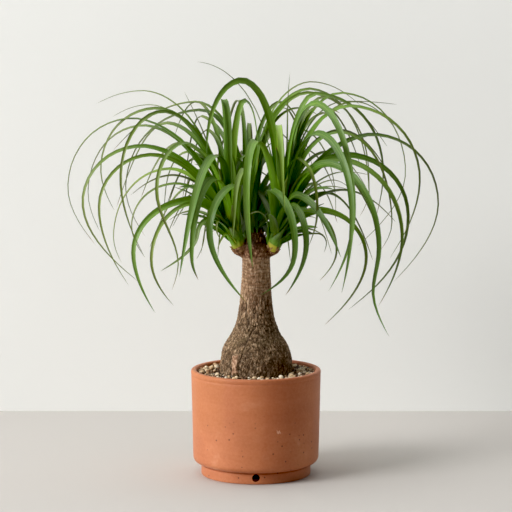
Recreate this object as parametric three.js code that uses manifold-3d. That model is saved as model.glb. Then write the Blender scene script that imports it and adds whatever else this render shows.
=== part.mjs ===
// Potted ponytail palm, in millimetres, +Z up. The pot stands on Z = 0 with its axis on Z, front at -Y.
import * as THREE from 'three';
import { mergeVertices } from 'three/addons/utils/BufferGeometryUtils.js';
import Module from 'manifold-3d';

const wasm = await Module();
wasm.setup();

// Clearance between pieces that touch on the real plant.
const gap = 0.3;

// Sides of everything turned round the pot's axis.
const sides = 30;

// Edges shorter than this are merged where solids have been joined.
const tolerance = 0.01;

const pot = {
  rimRadius: 80,
  waistRadius: 77.6,
  height: 131,
  wall: 7,
  lip: 2.2,
  cornerTop: 23,
  cornerRound: 8,
  footRadius: 67.6,
  footHeight: 14,
  footEdge: 1.5,
  grooveDepth: 1.4,
  floorTop: 4.5,
  insideStepRadius: 62.1,
  insideStepTop: 19,
  insideCornerTop: 34,
  holeRadius: 4.8,
  holeHeight: 8,
};

// The soil has sunk away from the foot's corner behind the drain hole.
const soil = {
  bottom: pot.floorTop + gap,
  bottomRadius: 54,
  sunkRadius: 55.5,
  sunkHeight: 12.5,
  stepRadius: 61.4,
  stepTop: 20,
  top: 118.7,
};

const gravel = {
  bottom: soil.top + gap,
  slabTop: 127.4,
  pebbles: 43,
  spacing: 5.4,
  smallest: 2.2,
  largest: 3.8,
  flatness: 0.72,
  seed: 71,
};

// Radius of the trunk at each height, from the buried base up to the crown.
const trunkOutline = [
  [70, 22], [74, 32], [84, 40.5], [100, 44.6], [128, 44.6], [142, 44], [154, 41.8], [161, 39.2],
  [167, 36], [173, 31.7], [179, 28.6], [186, 25.6], [193, 23.4], [204, 21.4], [217, 19.8], [235, 18.6],
  [254, 17.4], [268, 17], [283, 16.6], [292, 13.5], [299, 9],
];

const trunk = {
  soilLine: 128,
  lumps: 0.012,
  lumpRise: 20,
  scales: 14,
  scaleHeight: 13,
  scaleRadius: 3.4,
  scaleRing: 8,
  scaleThinness: 0.4,
  scaleSunk: 5,
  scaleTurn: 2.4,
  seed: 15,
};

// Each leaf head grows on a short shoot. Its foot and top are the ends of the shoot's axis.
const heads = {
  left: { foot: [-15, -1, 272], top: [-41, -2, 330] },
  right: { foot: [14.5, -1, 272], top: [41, -2, 330] },
  back: { foot: [-6, 15, 272], top: [-12, 34, 330] },
};

// Radius of a shoot at each share of its length, and of the brown cup at its foot, which is part of the
// trunk and starts inside the stem.
const shootOutline = [
  [0.02, 2], [0.07, 5.5], [0.12, 7.8], [0.2, 9.2], [0.42, 9], [0.68, 7], [0.88, 4.6], [1, 2.4],
];
const shootSides = 14;
const cupOutline = [[-0.06, 1.5], [0, 4.5], [0.06, 8.2], [0.11, 10.4], [0.16, 11.4], [0.2, 10.8]];

const blade = {
  keel: 0.9,
  keelShare: 0.14,
  rootOffset: 4,
  lowRoot: 287,
  highRoot: 314,
  lowCrest: 320,
  highCrest: 470,
  sidewaysReach: 40,
  roll: 38,
  curl: 1.8,
  rootWidth: 0.8,
  widensUntil: 0.18,
  taper: 2.6,
  upright: 5,
  rise: 3,
  fall: 4,
  tail: 3,
};

// The leaves below are listed as they look from the front, each point as [across, up] in the plane of the
// trunk. An eye this far in front and this high sees them so, and depth says how far behind that plane the
// leaf reaches, negative in front. A leaf rises to its crest, reaches furthest out at its elbow and hangs
// down to its tip. One with no elbow ends before it hangs, and one with only a tip still stands upright.
const eye = { distance: 3000, height: 663 };

const leftLeaves = [
  { crest: [-151, 441], elbow: [-231, 355], tip: [-196, 284], depth: 30, width: 5 },
  { crest: [-141, 407], elbow: [-213, 335], tip: [-143, 238], depth: -30, width: 7 },
  { crest: [-130, 396], elbow: [-193, 330], tip: [-155, 233], depth: -70, width: 6, roll: 55 },
  { crest: [-137, 432], elbow: [-206, 350], tip: [-190, 300], depth: 75, width: 5 },
  { crest: [-122, 453], elbow: [-190, 378], tip: [-172, 325], depth: 22, width: 6, roll: 55 },
  { crest: [-116, 449], elbow: [-166, 365], tip: [-136, 269], depth: -112, width: 6, roll: 62 },
  { crest: [-136, 474], tip: [-194, 458], depth: 50, width: 3 },
  { crest: [-127, 457], tip: [-175, 442], depth: 90, width: 3 },
  { crest: [-106, 379], elbow: [-175, 295], tip: [-165, 262], depth: 40, width: 6 },
  { crest: [-103, 371], tip: [-153, 346], depth: -45, width: 5 },
  { crest: [-99, 361], elbow: [-153, 308], tip: [-136, 269], depth: -12, width: 6 },
  { crest: [-88, 411], elbow: [-122, 350], waist: [-95, 262], tip: [-104, 228], depth: -122, width: 7 },
  { crest: [-82, 400], elbow: [-113, 335], tip: [-112, 312], depth: 60, width: 6 },
  { crest: [-74, 391], tip: [-110, 325], depth: 76, width: 6 },
  { crest: [-79, 341], elbow: [-151, 275], tip: [-124, 200], depth: -50, width: 9, roll: 55 },
  { crest: [-80, 336], elbow: [-129, 265], tip: [-101, 209], depth: -106, width: 7, roll: 50 },
  { crest: [-75, 327], tip: [-107, 315], depth: 45, width: 6 },
  { crest: [-57, 318], elbow: [-72, 296], tip: [-118, 252], depth: -52, width: 8 },
  { crest: [-50, 396], tip: [-94, 245], depth: -140, width: 12 },
  { crest: [-52, 368], elbow: [-79, 270], tip: [-70, 241], depth: -115, width: 11 },
  { crest: [-23, 360], elbow: [-58, 300], tip: [-10, 212], depth: -104, width: 11 },
  { crest: [-8, 388], tip: [-4, 378], depth: -35, width: 8 },
  { crest: [-40, 465], elbow: [-32, 405], tip: [-28, 340], depth: -30, width: 9 },
  { crest: [-34, 398], tip: [-14, 382], depth: 12, width: 9 },
  { tip: [-87, 473], depth: 20, width: 3 },
  { crest: [-44, 318], elbow: [-48, 306], tip: [-43, 291], depth: -30, width: 6 },
  { crest: [-36, 299], tip: [-47, 279], depth: -22, width: 5 },
  { crest: [-55, 308], elbow: [-64, 296], tip: [-73, 267], depth: 20, width: 3 },
  { crest: [-14, 463], elbow: [2, 410], tip: [3, 380], depth: 30, width: 9, roll: 60 },
  { crest: [-14, 380], elbow: [-26, 330], tip: [-29, 290], depth: -125, width: 8, roll: 40 },
];

const rightLeaves = [
  { crest: [103, 472], elbow: [184, 372], tip: [125, 283], depth: 40, width: 5 },
  { crest: [118, 461], tip: [172, 425], depth: 85, width: 5 },
  { crest: [115, 456], elbow: [201, 365], tip: [164, 268], depth: -30, width: 7 },
  { crest: [143, 421], elbow: [224, 335], tip: [169, 239], depth: 10, width: 7 },
  { crest: [105, 461], tip: [172, 457], depth: 62, width: 3 },
  { crest: [72, 460], elbow: [120, 322], tip: [89, 227], depth: -120, width: 9, roll: 66 },
  { crest: [76, 423], elbow: [118, 325], tip: [104, 224], depth: -150, width: 10, roll: 70 },
  { crest: [103, 424], elbow: [167, 312], tip: [152, 277], depth: -45, width: 5 },
  { crest: [112, 396], elbow: [187, 320], tip: [113, 204], depth: -8, width: 8, curl: 2.2 },
  { crest: [100, 391], elbow: [180, 295], tip: [150, 208], depth: -62, width: 8, roll: 52 },
  { crest: [105, 375], tip: [138, 371], depth: 70, width: 4 },
  { crest: [92, 365], tip: [118, 350], depth: 105, width: 4 },
  { crest: [85, 357], tip: [118, 351], depth: 86, width: 4 },
  { crest: [105, 353], tip: [171, 313], depth: 28, width: 7 },
  {
    crest: [88, 386],
    elbow: [151, 283],
    waist: [143, 225],
    tip: [165, 170],
    depth: -100,
    width: 9,
    roll: 60,
  },
  { crest: [80, 328], elbow: [136, 268], tip: [84, 185], depth: -26, width: 7 },
  { crest: [50, 347], tip: [104, 269], depth: -90, width: 10, roll: 60 },
  { crest: [65, 328], elbow: [99, 278], tip: [77, 240], depth: -48, width: 6 },
  { crest: [43, 336], elbow: [62, 285], tip: [36, 222], depth: -96, width: 10 },
  { crest: [28, 433], elbow: [31, 375], tip: [35, 322], depth: -112, width: 9 },
  { crest: [17, 354], elbow: [48, 285], tip: [5, 222], depth: -110, width: 11, curl: 2.8 },
  { crest: [50, 428], elbow: [98, 335], tip: [98, 318], depth: 45, width: 5 },
  { crest: [50, 392], elbow: [76, 325], tip: [64, 282], depth: -58, width: 7 },
  { tip: [41, 497], depth: 10, width: 3 },
  { crest: [53, 306], tip: [83, 297], depth: 25, width: 5 },
  { crest: [76, 299], elbow: [86, 287], tip: [83, 275], depth: -30, width: 4 },
  { crest: [62, 320], tip: [76, 317], depth: 40, width: 4 },
  { crest: [72, 471], elbow: [156, 375], tip: [147, 318], depth: 20, width: 8 },
  { crest: [84, 467], tip: [160, 405], depth: 52, width: 7 },
  { crest: [66, 457], tip: [104, 446], depth: -35, width: 10 },
  { crest: [-18, 487], elbow: [-60, 405], tip: [-61, 390], depth: -36, width: 10, roll: 82 },
  { crest: [-72, 509], depth: -30, width: 3 },
  { crest: [-1, 414], elbow: [-13, 350], tip: [-3, 256], depth: -135, width: 10 },
  { crest: [2, 326], tip: [-12, 319], depth: -14, width: 7 },
];

const backLeaves = [
  { crest: [-73, 461], tip: [-175, 400], depth: 68, width: 7 },
  { crest: [-67, 451], elbow: [-160, 355], tip: [-136, 295], depth: 84, width: 7 },
  { crest: [63, 472], elbow: [138, 375], tip: [140, 322], depth: 74, width: 7 },
  { crest: [65, 477], elbow: [139, 350], tip: [126, 318], depth: 90, width: 7 },
  { crest: [66, 485], tip: [128, 455], depth: 62, width: 4 },
  { crest: [14, 392], elbow: [30, 340], tip: [30, 300], depth: 60, width: 10 },
  { crest: [4, 352], elbow: [14, 320], tip: [15, 300], depth: 55, width: 10 },
  { crest: [50, 453], tip: [76, 444], depth: 54, width: 8 },
  { crest: [2, 376], elbow: [24, 340], tip: [26, 318], depth: 52, width: 8 },
];

// Leaves the front view hides are drawn by a rule: so many, over the bearings from first to last in
// degrees, counted anticlockwise from +X as seen from above.
const hiddenLeaves = {
  left: { count: 8, first: 118, last: 178, seed: 34 },
  right: { count: 8, first: 2, last: 60, seed: 40 },
  back: { count: 17, first: 36, last: 146, seed: 55 },
};

const goldenShare = 0.618;

const hiddenLeaf = {
  crestLow: 335,
  crestHigh: 462,
  crestSpread: 16,
  crestNear: 44,
  crestFar: 96,
  outLeast: 34,
  outMost: 72,
  dropLeast: 40,
  dropMost: 115,
  width: 8,
};

const materials = {
  terracotta: new THREE.MeshStandardMaterial({ color: 0xc97c56, roughness: 0.85, metalness: 0 }),
  earth: new THREE.MeshStandardMaterial({ color: 0x46321f, roughness: 0.95, metalness: 0 }),
  pebble: new THREE.MeshStandardMaterial({ color: 0xd9c3a0, roughness: 0.8, metalness: 0 }),
  bark: new THREE.MeshStandardMaterial({ color: 0x7d6552, roughness: 0.9, metalness: 0 }),
  leaf: new THREE.MeshStandardMaterial({ color: 0x4b7819, roughness: 0.5, metalness: 0 }),
};

// The draw gives the same numbers in every run.
function seededRandom(seed) {
  let state = seed;
  return () => {
    state = (state * 16807) % 2147483647;
    return state / 2147483647;
  };
}

function lerp(from, to, share) {
  return from + (to - from) * share;
}

function clamp(value, least, most) {
  return Math.min(most, Math.max(least, value));
}

// Points of a round corner from one angle to another, in degrees, for a lathe outline.
function cornerPoints(centreRadius, centreHeight, radius, from, to, steps) {
  const points = [];
  for (let i = 0; i <= steps; i += 1) {
    const angle = THREE.MathUtils.degToRad(lerp(from, to, i / steps));
    points.push([centreRadius + radius * Math.cos(angle), centreHeight + radius * Math.sin(angle)]);
  }
  return points;
}

function solidFrom(geometry) {
  const bare = geometry.index ? geometry.toNonIndexed() : geometry.clone();
  bare.deleteAttribute('normal');
  bare.deleteAttribute('uv');
  const merged = mergeVertices(bare, 1e-4);
  const mesh = new wasm.Mesh({
    numProp: 3,
    vertProperties: new Float32Array(merged.attributes.position.array),
    triVerts: new Uint32Array(merged.index.array),
  });
  return new wasm.Manifold(mesh);
}

function meshFrom(solid, name, material) {
  const result = solid.getMesh();
  const geometry = new THREE.BufferGeometry();
  geometry.setAttribute('position', new THREE.BufferAttribute(result.vertProperties, 3));
  geometry.setIndex(new THREE.BufferAttribute(result.triVerts, 1));
  geometry.computeVertexNormals();
  const mesh = new THREE.Mesh(geometry, material);
  mesh.name = name;
  return mesh;
}

// Turns an outline of [radius, height] points round Z. Both ends lie on the axis, or the outline closes.
function turned(outline) {
  const points = outline.map(([radius, height]) => new THREE.Vector2(radius, height));
  const geometry = new THREE.LatheGeometry(points, sides);
  geometry.rotateX(Math.PI / 2);
  return solidFrom(geometry);
}

// The one closed body of a fused node: loose scraps and sealed hollows fall away.
function wholeBody(solids) {
  const pieces = wasm.Manifold.union(solids).simplify(tolerance).decompose();
  return pieces.reduce((best, piece) => (piece.volume() > best.volume() ? piece : best));
}

// Radius of the pot's inner wall at a height above its inside corner.
function insideRadius(height) {
  const share = (height - pot.cornerTop) / (pot.height - pot.cornerTop);
  return lerp(pot.waistRadius, pot.rimRadius, share) - pot.wall;
}

function buildPot() {
  const inner = pot.rimRadius - pot.wall;
  const insideFoot = pot.footRadius - pot.wall;
  const outline = [
    [0, 0],
    [pot.footRadius - pot.footEdge, 0],
    [pot.footRadius, pot.footEdge],
    [pot.footRadius, pot.footHeight - 1],
    [pot.footRadius - pot.grooveDepth, pot.footHeight],
    ...cornerPoints(pot.waistRadius - pot.cornerRound, pot.cornerTop, pot.cornerRound, -80, 0, 4),
    ...cornerPoints(pot.rimRadius - pot.lip, pot.height - pot.lip, pot.lip, 0, 90, 3),
    ...cornerPoints(inner + pot.lip, pot.height - pot.lip, pot.lip, 90, 180, 3),
    [insideRadius(pot.insideCornerTop), pot.insideCornerTop],
    [pot.insideStepRadius, pot.insideStepTop],
    [insideFoot, pot.footHeight - 1],
    [insideFoot, pot.floorTop],
    [0, pot.floorTop],
  ];
  const hole = new THREE.CylinderGeometry(pot.holeRadius, pot.holeRadius, pot.wall * 2, 16);
  hole.translate(0, pot.wall / 2 - pot.footRadius, pot.holeHeight);
  return turned(outline).subtract(solidFrom(hole));
}

// The soil fills the pot round the buried base of the trunk, which stands in a plain hole.
function buildSoil() {
  const buried = trunkOutline.filter(([height]) => height < soil.top);
  const hole = buried.map(([height, radius]) => [radius + gap, height - gap]).reverse();
  const outline = [
    [0, soil.bottom],
    [soil.bottomRadius, soil.bottom],
    [soil.sunkRadius, soil.sunkHeight],
    [soil.stepRadius, soil.stepTop],
    [insideRadius(pot.insideCornerTop) - gap, pot.insideCornerTop + gap],
    [insideRadius(soil.top) - gap, soil.top],
    [hole[0][0], soil.top],
    ...hole,
    [0, buried[0][0] - gap],
  ];
  return turned(outline);
}

// A bed of dark grit with pebbles sunk in it, between the trunk and the pot's wall.
function buildGravel() {
  const draw = seededRandom(gravel.seed);
  const innerRadius = radiusOfTrunk(gravel.bottom) + gap;
  const outerRadius = insideRadius(gravel.bottom) - gap;
  const solids = [
    turned([
      [innerRadius, gravel.bottom],
      [outerRadius, gravel.bottom],
      [outerRadius, gravel.slabTop],
      [innerRadius, gravel.slabTop],
      [innerRadius, gravel.bottom],
    ]),
  ];
  const spots = [];
  while (spots.length < gravel.pebbles) {
    const size = lerp(gravel.smallest, gravel.largest, draw() ** 1.6);
    const angle = draw() * Math.PI * 2;
    const room = outerRadius - innerRadius - 2 * size - 4 * gap;
    const distance = innerRadius + size + 2 * gap + room * draw();
    const spot = new THREE.Vector2(Math.cos(angle), Math.sin(angle)).multiplyScalar(distance);
    if (spots.some((other) => other.distanceTo(spot) < gravel.spacing)) continue;
    spots.push(spot);
    const pebble = new THREE.IcosahedronGeometry(size, 0);
    pebble.rotateX(draw() * Math.PI);
    pebble.rotateZ(draw() * Math.PI);
    pebble.scale(1, lerp(0.7, 1, draw()), gravel.flatness);
    pebble.rotateZ(draw() * Math.PI);
    pebble.translate(spot.x, spot.y, gravel.slabTop + size * lerp(0.05, 0.4, draw()));
    solids.push(solidFrom(pebble));
  }
  return wholeBody(solids);
}

function radiusOfTrunk(height) {
  const above = trunkOutline.findIndex(([level]) => level >= height);
  const [highLevel, highRadius] = trunkOutline[above];
  const [lowLevel, lowRadius] = trunkOutline[above - 1];
  return lerp(lowRadius, highRadius, (height - lowLevel) / (highLevel - lowLevel));
}

// Shallow lumps round the swollen base and stem, none where the trunk stands in the soil.
function lumpAt(angle, height) {
  const share = clamp((height - trunk.soilLine) / trunk.lumpRise, 0, 1);
  const wave = Math.sin(3 * angle + height / 17) + 0.6 * Math.sin(5 * angle - height / 11);
  return 1 + trunk.lumps * share * wave;
}

// The stem with its swollen base, a cup under each shoot and the thin dry remains of old leaves on top.
function buildTrunk(sockets) {
  const top = trunkOutline[trunkOutline.length - 1];
  const outline = [
    [0, trunkOutline[0][0]],
    ...trunkOutline.map(([height, radius]) => [radius, height]),
    [0, top[0] + 1],
  ];
  const stem = turned(outline).warp((point) => {
    const lump = lumpAt(Math.atan2(point[1], point[0]), point[2]);
    point[0] *= lump;
    point[1] *= lump;
  });
  const cups = Object.values(heads).map((head) => buildAlong(head, cupOutline, 0));
  const solids = [stem, ...cups];
  const draw = seededRandom(trunk.seed);
  for (let i = 0; i < trunk.scales; i += 1) {
    const bearing = (i + 0.5 * draw()) * trunk.scaleTurn;
    const height = lerp(0.7, 1.2, draw()) * trunk.scaleHeight;
    const scale = new THREE.ConeGeometry(trunk.scaleRadius, height, 5);
    scale.rotateX(Math.PI / 2);
    scale.scale(trunk.scaleThinness, 1, 1);
    scale.translate(0, 0, height * 0.4);
    scale.rotateY(lerp(0.1, 0.5, draw()));
    scale.translate(trunk.scaleRing * lerp(0.4, 1, draw()), 0, top[0] - trunk.scaleSunk);
    scale.rotateZ(bearing);
    solids.push(solidFrom(scale));
  }
  return wholeBody(solids).subtract(wasm.Manifold.union(sockets));
}

// A solid turned round a shoot's axis, fuller by a margin all round.
function buildAlong(head, shares, margin) {
  const foot = new THREE.Vector3(...head.foot);
  const axis = new THREE.Vector3(...head.top).sub(foot);
  const length = axis.length();
  const first = shares[0];
  const last = shares[shares.length - 1];
  const vectors = [
    new THREE.Vector2(0, first[0] * length - margin),
    new THREE.Vector2(first[1] + margin, first[0] * length - margin),
    ...shares.slice(1).map(([share, radius]) => new THREE.Vector2(radius + margin, share * length)),
    new THREE.Vector2(0, last[0] * length + margin),
  ];
  const geometry = new THREE.LatheGeometry(vectors, shootSides);
  geometry.applyQuaternion(new THREE.Quaternion().setFromUnitVectors(
    new THREE.Vector3(0, 1, 0),
    axis.normalize(),
  ));
  geometry.translate(foot.x, foot.y, foot.z);
  return solidFrom(geometry);
}

// Where a point that is listed as it looks from the front lies in space, at a known depth.
function placed([across, up], depth) {
  const scale = 1 + depth / eye.distance;
  return new THREE.Vector3(across * scale, depth, lerp(eye.height, up, scale));
}

// A leaf springs from the shoot's axis, higher for a leaf with a higher crest.
function rootOf(head, crestHeight) {
  const share = clamp((crestHeight - blade.lowCrest) / (blade.highCrest - blade.lowCrest), 0, 1);
  const height = lerp(blade.lowRoot, blade.highRoot, share);
  const along = (height - head.foot[2]) / (head.top[2] - head.foot[2]);
  return new THREE.Vector3(...head.foot).lerp(new THREE.Vector3(...head.top), along);
}

// The leaf's points in space. Its crest and its hanging tip keep to the upright plane of its reach,
// unless the leaf comes so straight to the front that the plane can't be told from the list.
function leafPoints(head, leaf) {
  const reach = leaf.elbow ?? leaf.tip ?? leaf.crest;
  const root = rootOf(head, (leaf.crest ?? leaf.tip)[1]);
  const width = reach[0] - root.x;
  const sideways = Math.abs(width) > blade.sidewaysReach;
  const depthAt = (across, frontShare, least) => {
    const share = sideways ? clamp((across - root.x) / width, least, 1.1) : frontShare;
    return lerp(root.y, leaf.depth, share);
  };
  const points = { root, reach: placed(reach, leaf.depth) };
  if (leaf.crest) points.crest = placed(leaf.crest, depthAt(leaf.crest[0], 0.6, 0.25));
  if (leaf.elbow) points.elbow = points.reach;
  if (leaf.waist) points.waist = placed(leaf.waist, depthAt(leaf.waist[0], 1, 0.4));
  if (leaf.tip) points.tip = placed(leaf.tip, depthAt(leaf.tip[0], 1, 0.4));
  return points;
}

// The older a hidden leaf is, the lower its crest. Bearings follow one another by the golden share.
function hiddenLeafPoints(head, rule, index, draw) {
  const age = (index + 0.5) / rule.count;
  const bearing = THREE.MathUtils.degToRad(lerp(rule.first, rule.last, (index * goldenShare) % 1));
  const outward = new THREE.Vector3(Math.cos(bearing), Math.sin(bearing), 0);
  const crestHeight = lerp(hiddenLeaf.crestHigh, hiddenLeaf.crestLow, age)
    + hiddenLeaf.crestSpread * (draw() - 0.5);
  const root = rootOf(head, crestHeight);
  const crest = root.clone()
    .addScaledVector(outward, lerp(hiddenLeaf.crestNear, hiddenLeaf.crestFar, draw()))
    .setZ(crestHeight);
  const tip = crest.clone()
    .addScaledVector(outward, lerp(hiddenLeaf.outLeast, hiddenLeaf.outMost, draw()))
    .setZ(crestHeight - lerp(hiddenLeaf.dropLeast, hiddenLeaf.dropMost, draw()));
  return { root, crest, tip, reach: tip };
}

// One stretch of a leaf's middle line. The share of the way it has gone across and down at each step
// comes from the two functions of a value that runs from 0 to 1.
function stretch(from, to, steps, across, down) {
  const points = [];
  for (let i = 1; i <= steps; i += 1) {
    const point = from.clone().lerp(to, across(i / steps));
    points.push(point.setZ(lerp(from.z, to.z, down(i / steps))));
  }
  return points;
}

const quarter = Math.PI / 2;
const even = (t) => t;

// The middle line: a steep rise that levels out at the crest, a quarter ellipse down to the elbow, and
// a tail that hangs and curls in, or turns in at a waist and out again.
function middleLine({ root, crest, elbow, waist, tip }, curl) {
  if (!crest) return [root, ...stretch(root, tip, blade.upright, (t) => t ** 1.7, even)];
  const run = Math.hypot(crest.x - root.x, crest.y - root.y);
  const steepness = clamp(0.55 + 0.9 * (crest.z - root.z) / Math.max(run, 1), 1, 2.8);
  const climbed = (t) => Math.min(1, Math.sin(quarter * (1 - (1 - t) ** 1.8)));
  const outRise = (t) => 1 - Math.sqrt(1 - climbed(t) ** steepness);
  const line = [root, ...stretch(root, crest, blade.rise, outRise, climbed)];
  if (!tip) return line;
  if (!elbow) return [...line, ...stretch(crest, tip, blade.fall, even, (t) => t ** 2)];
  const outFall = (t) => Math.sin(t * quarter);
  line.push(...stretch(crest, elbow, blade.fall, outFall, (t) => 1 - Math.cos(t * quarter)));
  if (!waist) return [...line, ...stretch(elbow, tip, blade.tail, (t) => t ** curl, even)];
  line.push(...stretch(elbow, waist, blade.tail, (t) => t * t * (3 - 2 * t), even));
  return [...line, ...stretch(waist, tip, blade.tail - 1, (t) => t ** 1.6, even)];
}

// Share of a blade's full width at a share of its length: a long strap that narrows to a fine tip.
function widthShare(along) {
  const widened = lerp(blade.rootWidth, 1, Math.min(1, along / blade.widensUntil));
  return widened * (1 - along ** blade.taper) ** 0.9;
}

// A keeled blade along a middle line. Each ring has a left edge, a right edge and a keel below them, and
// its faces are split the same way at both edges, so that a twisted blade never crosses itself.
function bladeSolid(line, outward, width, rollDegrees) {
  const side = new THREE.Vector3(-outward.y, outward.x, 0).normalize();
  const roll = THREE.MathUtils.degToRad(rollDegrees);
  const lengths = [0];
  for (let i = 1; i < line.length; i += 1) lengths.push(lengths[i - 1] + line[i].distanceTo(line[i - 1]));
  const last = line.length - 1;
  const vertices = [];
  for (let i = 0; i < last; i += 1) {
    const along = lengths[i] / lengths[last];
    const tangent = line[Math.min(i + 1, last)].clone().sub(line[Math.max(i - 1, 0)]).normalize();
    const flat = side.clone().addScaledVector(tangent, -side.dot(tangent)).normalize();
    const face = tangent.clone().cross(flat);
    const across = flat.clone().multiplyScalar(Math.cos(roll)).addScaledVector(face, -Math.sin(roll));
    const up = tangent.clone().cross(across);
    const half = width * widthShare(along) / 2;
    vertices.push(
      line[i].clone().addScaledVector(across, half),
      line[i].clone().addScaledVector(across, -half),
      line[i].clone().addScaledVector(up, -blade.keel - blade.keelShare * half),
    );
  }
  vertices.push(line[last]);
  const faces = [];
  for (let i = 0; i < last - 1; i += 1) {
    for (let j = 0; j < 3; j += 1) {
      const here = 3 * i + j;
      const next = 3 * i + (j + 1) % 3;
      faces.push(here, next, next + 3, here, next + 3, here + 3);
    }
  }
  const apex = vertices.length - 1;
  const end = 3 * (last - 1);
  for (let j = 0; j < 3; j += 1) faces.push(end + j, end + (j + 1) % 3, apex);
  faces.push(0, 2, 1);
  const mesh = new wasm.Mesh({
    numProp: 3,
    vertProperties: new Float32Array(vertices.flatMap((vertex) => vertex.toArray())),
    triVerts: new Uint32Array(faces),
  });
  return new wasm.Manifold(mesh);
}

// The upper face of a leaf that reaches to one side leans towards the front, by its roll in degrees.
function growLeaf(points, width, curl, roll) {
  const outward = points.reach.clone().sub(points.root).setZ(0).normalize();
  const root = points.root.clone().addScaledVector(outward, blade.rootOffset);
  return bladeSolid(middleLine({ ...points, root }, curl), outward, width, -roll * outward.x);
}

// A head of leaves on its shoot: the listed leaves first, then those that the rule draws.
function buildHead(head, listed, rule) {
  const draw = seededRandom(rule.seed);
  const solids = [buildAlong(head, shootOutline, 0)];
  for (const leaf of listed) {
    const roll = leaf.roll ?? blade.roll * lerp(0.5, 1.5, draw());
    solids.push(growLeaf(leafPoints(head, leaf), leaf.width, leaf.curl ?? blade.curl, roll));
  }
  for (let i = 0; i < rule.count; i += 1) {
    const points = hiddenLeafPoints(head, rule, i, draw);
    solids.push(growLeaf(points, hiddenLeaf.width, blade.curl, blade.roll * lerp(0.5, 1.5, draw())));
  }
  return wholeBody(solids);
}

const sockets = Object.values(heads).map((head) => buildAlong(head, shootOutline, gap));
const nodes = [
  ['pot', buildPot(), materials.terracotta],
  ['soil', buildSoil(), materials.earth],
  ['gravel_topping', buildGravel(), materials.pebble],
  ['trunk', buildTrunk(sockets), materials.bark],
  ['leaf_head_left', buildHead(heads.left, leftLeaves, hiddenLeaves.left), materials.leaf],
  ['leaf_head_right', buildHead(heads.right, rightLeaves, hiddenLeaves.right), materials.leaf],
  ['leaf_head_back', buildHead(heads.back, backLeaves, hiddenLeaves.back), materials.leaf],
];

const plant = new THREE.Group();
plant.name = 'potted_ponytail_palm';
for (const [name, solid, material] of nodes) plant.add(meshFrom(solid, name, material));

export default plant;
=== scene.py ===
import math
import random

import bpy
import numpy as np
from mathutils import Matrix, Vector, noise


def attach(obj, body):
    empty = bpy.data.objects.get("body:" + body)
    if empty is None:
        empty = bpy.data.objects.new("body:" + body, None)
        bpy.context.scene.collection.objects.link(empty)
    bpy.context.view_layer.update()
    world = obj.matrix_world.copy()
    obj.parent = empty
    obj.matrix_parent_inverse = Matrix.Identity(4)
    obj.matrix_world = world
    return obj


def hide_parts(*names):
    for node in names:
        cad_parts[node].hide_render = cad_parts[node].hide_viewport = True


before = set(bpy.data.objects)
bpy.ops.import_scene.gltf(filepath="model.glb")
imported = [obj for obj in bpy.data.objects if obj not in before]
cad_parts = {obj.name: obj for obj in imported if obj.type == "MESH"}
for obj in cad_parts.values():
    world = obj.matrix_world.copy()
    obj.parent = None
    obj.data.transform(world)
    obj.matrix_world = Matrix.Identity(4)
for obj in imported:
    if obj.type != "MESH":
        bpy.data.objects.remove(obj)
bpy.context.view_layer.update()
mm = 0.001
onAxis = 1e-6  # a radius under this is taken as none
goldenShare, goldenTurn = 0.618, 2.4  # of a round and in radians, which spread leaves without a pattern
print("frame loaded with", len(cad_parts), "nodes")


# Small helpers for numbers, meshes and pieces

def lerp(start, end, share):
    return start + (end - start) * share


def clamp(value, least=0.0, most=1.0):
    return min(most, max(least, value))


def smoothStep(low, high, value):
    share = clamp((value - low) / (high - low))
    return share * share * (3 - 2 * share)


def paint(red, green, blue):  # a colour as a paint chart gives it, turned into light
    def toLight(level):
        share = level / 255
        return share / 12.92 if share <= 0.04045 else ((share + 0.055) / 1.055) ** 2.4
    return (toLight(red), toLight(green), toLight(blue), 1.0)


def smoothMesh(mesh, sharpAngle):
    mesh.shade_smooth()
    mesh.set_sharp_from_angle(angle=math.radians(sharpAngle))


def makePiece(name, vertices, faces, finish, replaced, sharpAngle):
    mesh = bpy.data.meshes.new(name)
    mesh.from_pydata([Vector(vertex) * mm for vertex in vertices], [], faces)
    mesh.materials.append(finish)
    smoothMesh(mesh, sharpAngle)
    piece = bpy.data.objects.new(name, mesh)
    bpy.context.scene.collection.objects.link(piece)
    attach(piece, "root")
    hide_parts(replaced)
    print("made", name, "with", sum(len(face) - 2 for face in faces), "triangles")
    return piece


def keepValues(piece, name, values):  # one number for each vertex, which the finish reads
    field = piece.data.attributes.new(name, "FLOAT", "POINT")
    field.data.foreach_set("value", np.array(values, np.float32))


def splitLong(outline, longest):
    points = [outline[0]]
    for start, end in zip(outline, outline[1:]):
        count = max(1, math.ceil(math.dist(start, end) / longest))
        for step in range(1, count + 1):
            points.append(tuple(lerp(a, b, step / count) for a, b in zip(start, end)))
    return points


def turnOutline(outline, sides, shape=None, closed=False):  # both ends lie on the axis, or it closes
    vertices, rows = [], []
    for radius, height in outline:
        if radius < onAxis:
            rows.append([len(vertices)] * sides)
            vertices.append((0.0, 0.0, height))
            continue
        rows.append(list(range(len(vertices), len(vertices) + sides)))
        for side in range(sides):
            angle = 2 * math.pi * side / sides
            point = (radius * math.cos(angle), radius * math.sin(angle), height)
            vertices.append(shape(point, angle) if shape else point)
    faces = []
    if closed:
        rows.append(rows[0])
    for lower, upper in zip(rows, rows[1:]):
        for side in range(sides):
            after = (side + 1) % sides
            corners = [lower[side], lower[after], upper[after], upper[side]]
            corners = [c for i, c in enumerate(corners) if c != corners[i - 1]]
            if len(corners) > 2:
                faces.append(corners)
    return vertices, faces


def roundCorner(centreRadius, centreHeight, radius, start, end, steps):
    points = []
    for step in range(steps + 1):
        angle = math.radians(lerp(start, end, step / steps))
        points.append((centreRadius + radius * math.cos(angle), centreHeight + radius * math.sin(angle)))
    return points


def outwardAt(angle):
    return Vector((math.cos(angle), math.sin(angle), 0))


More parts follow.
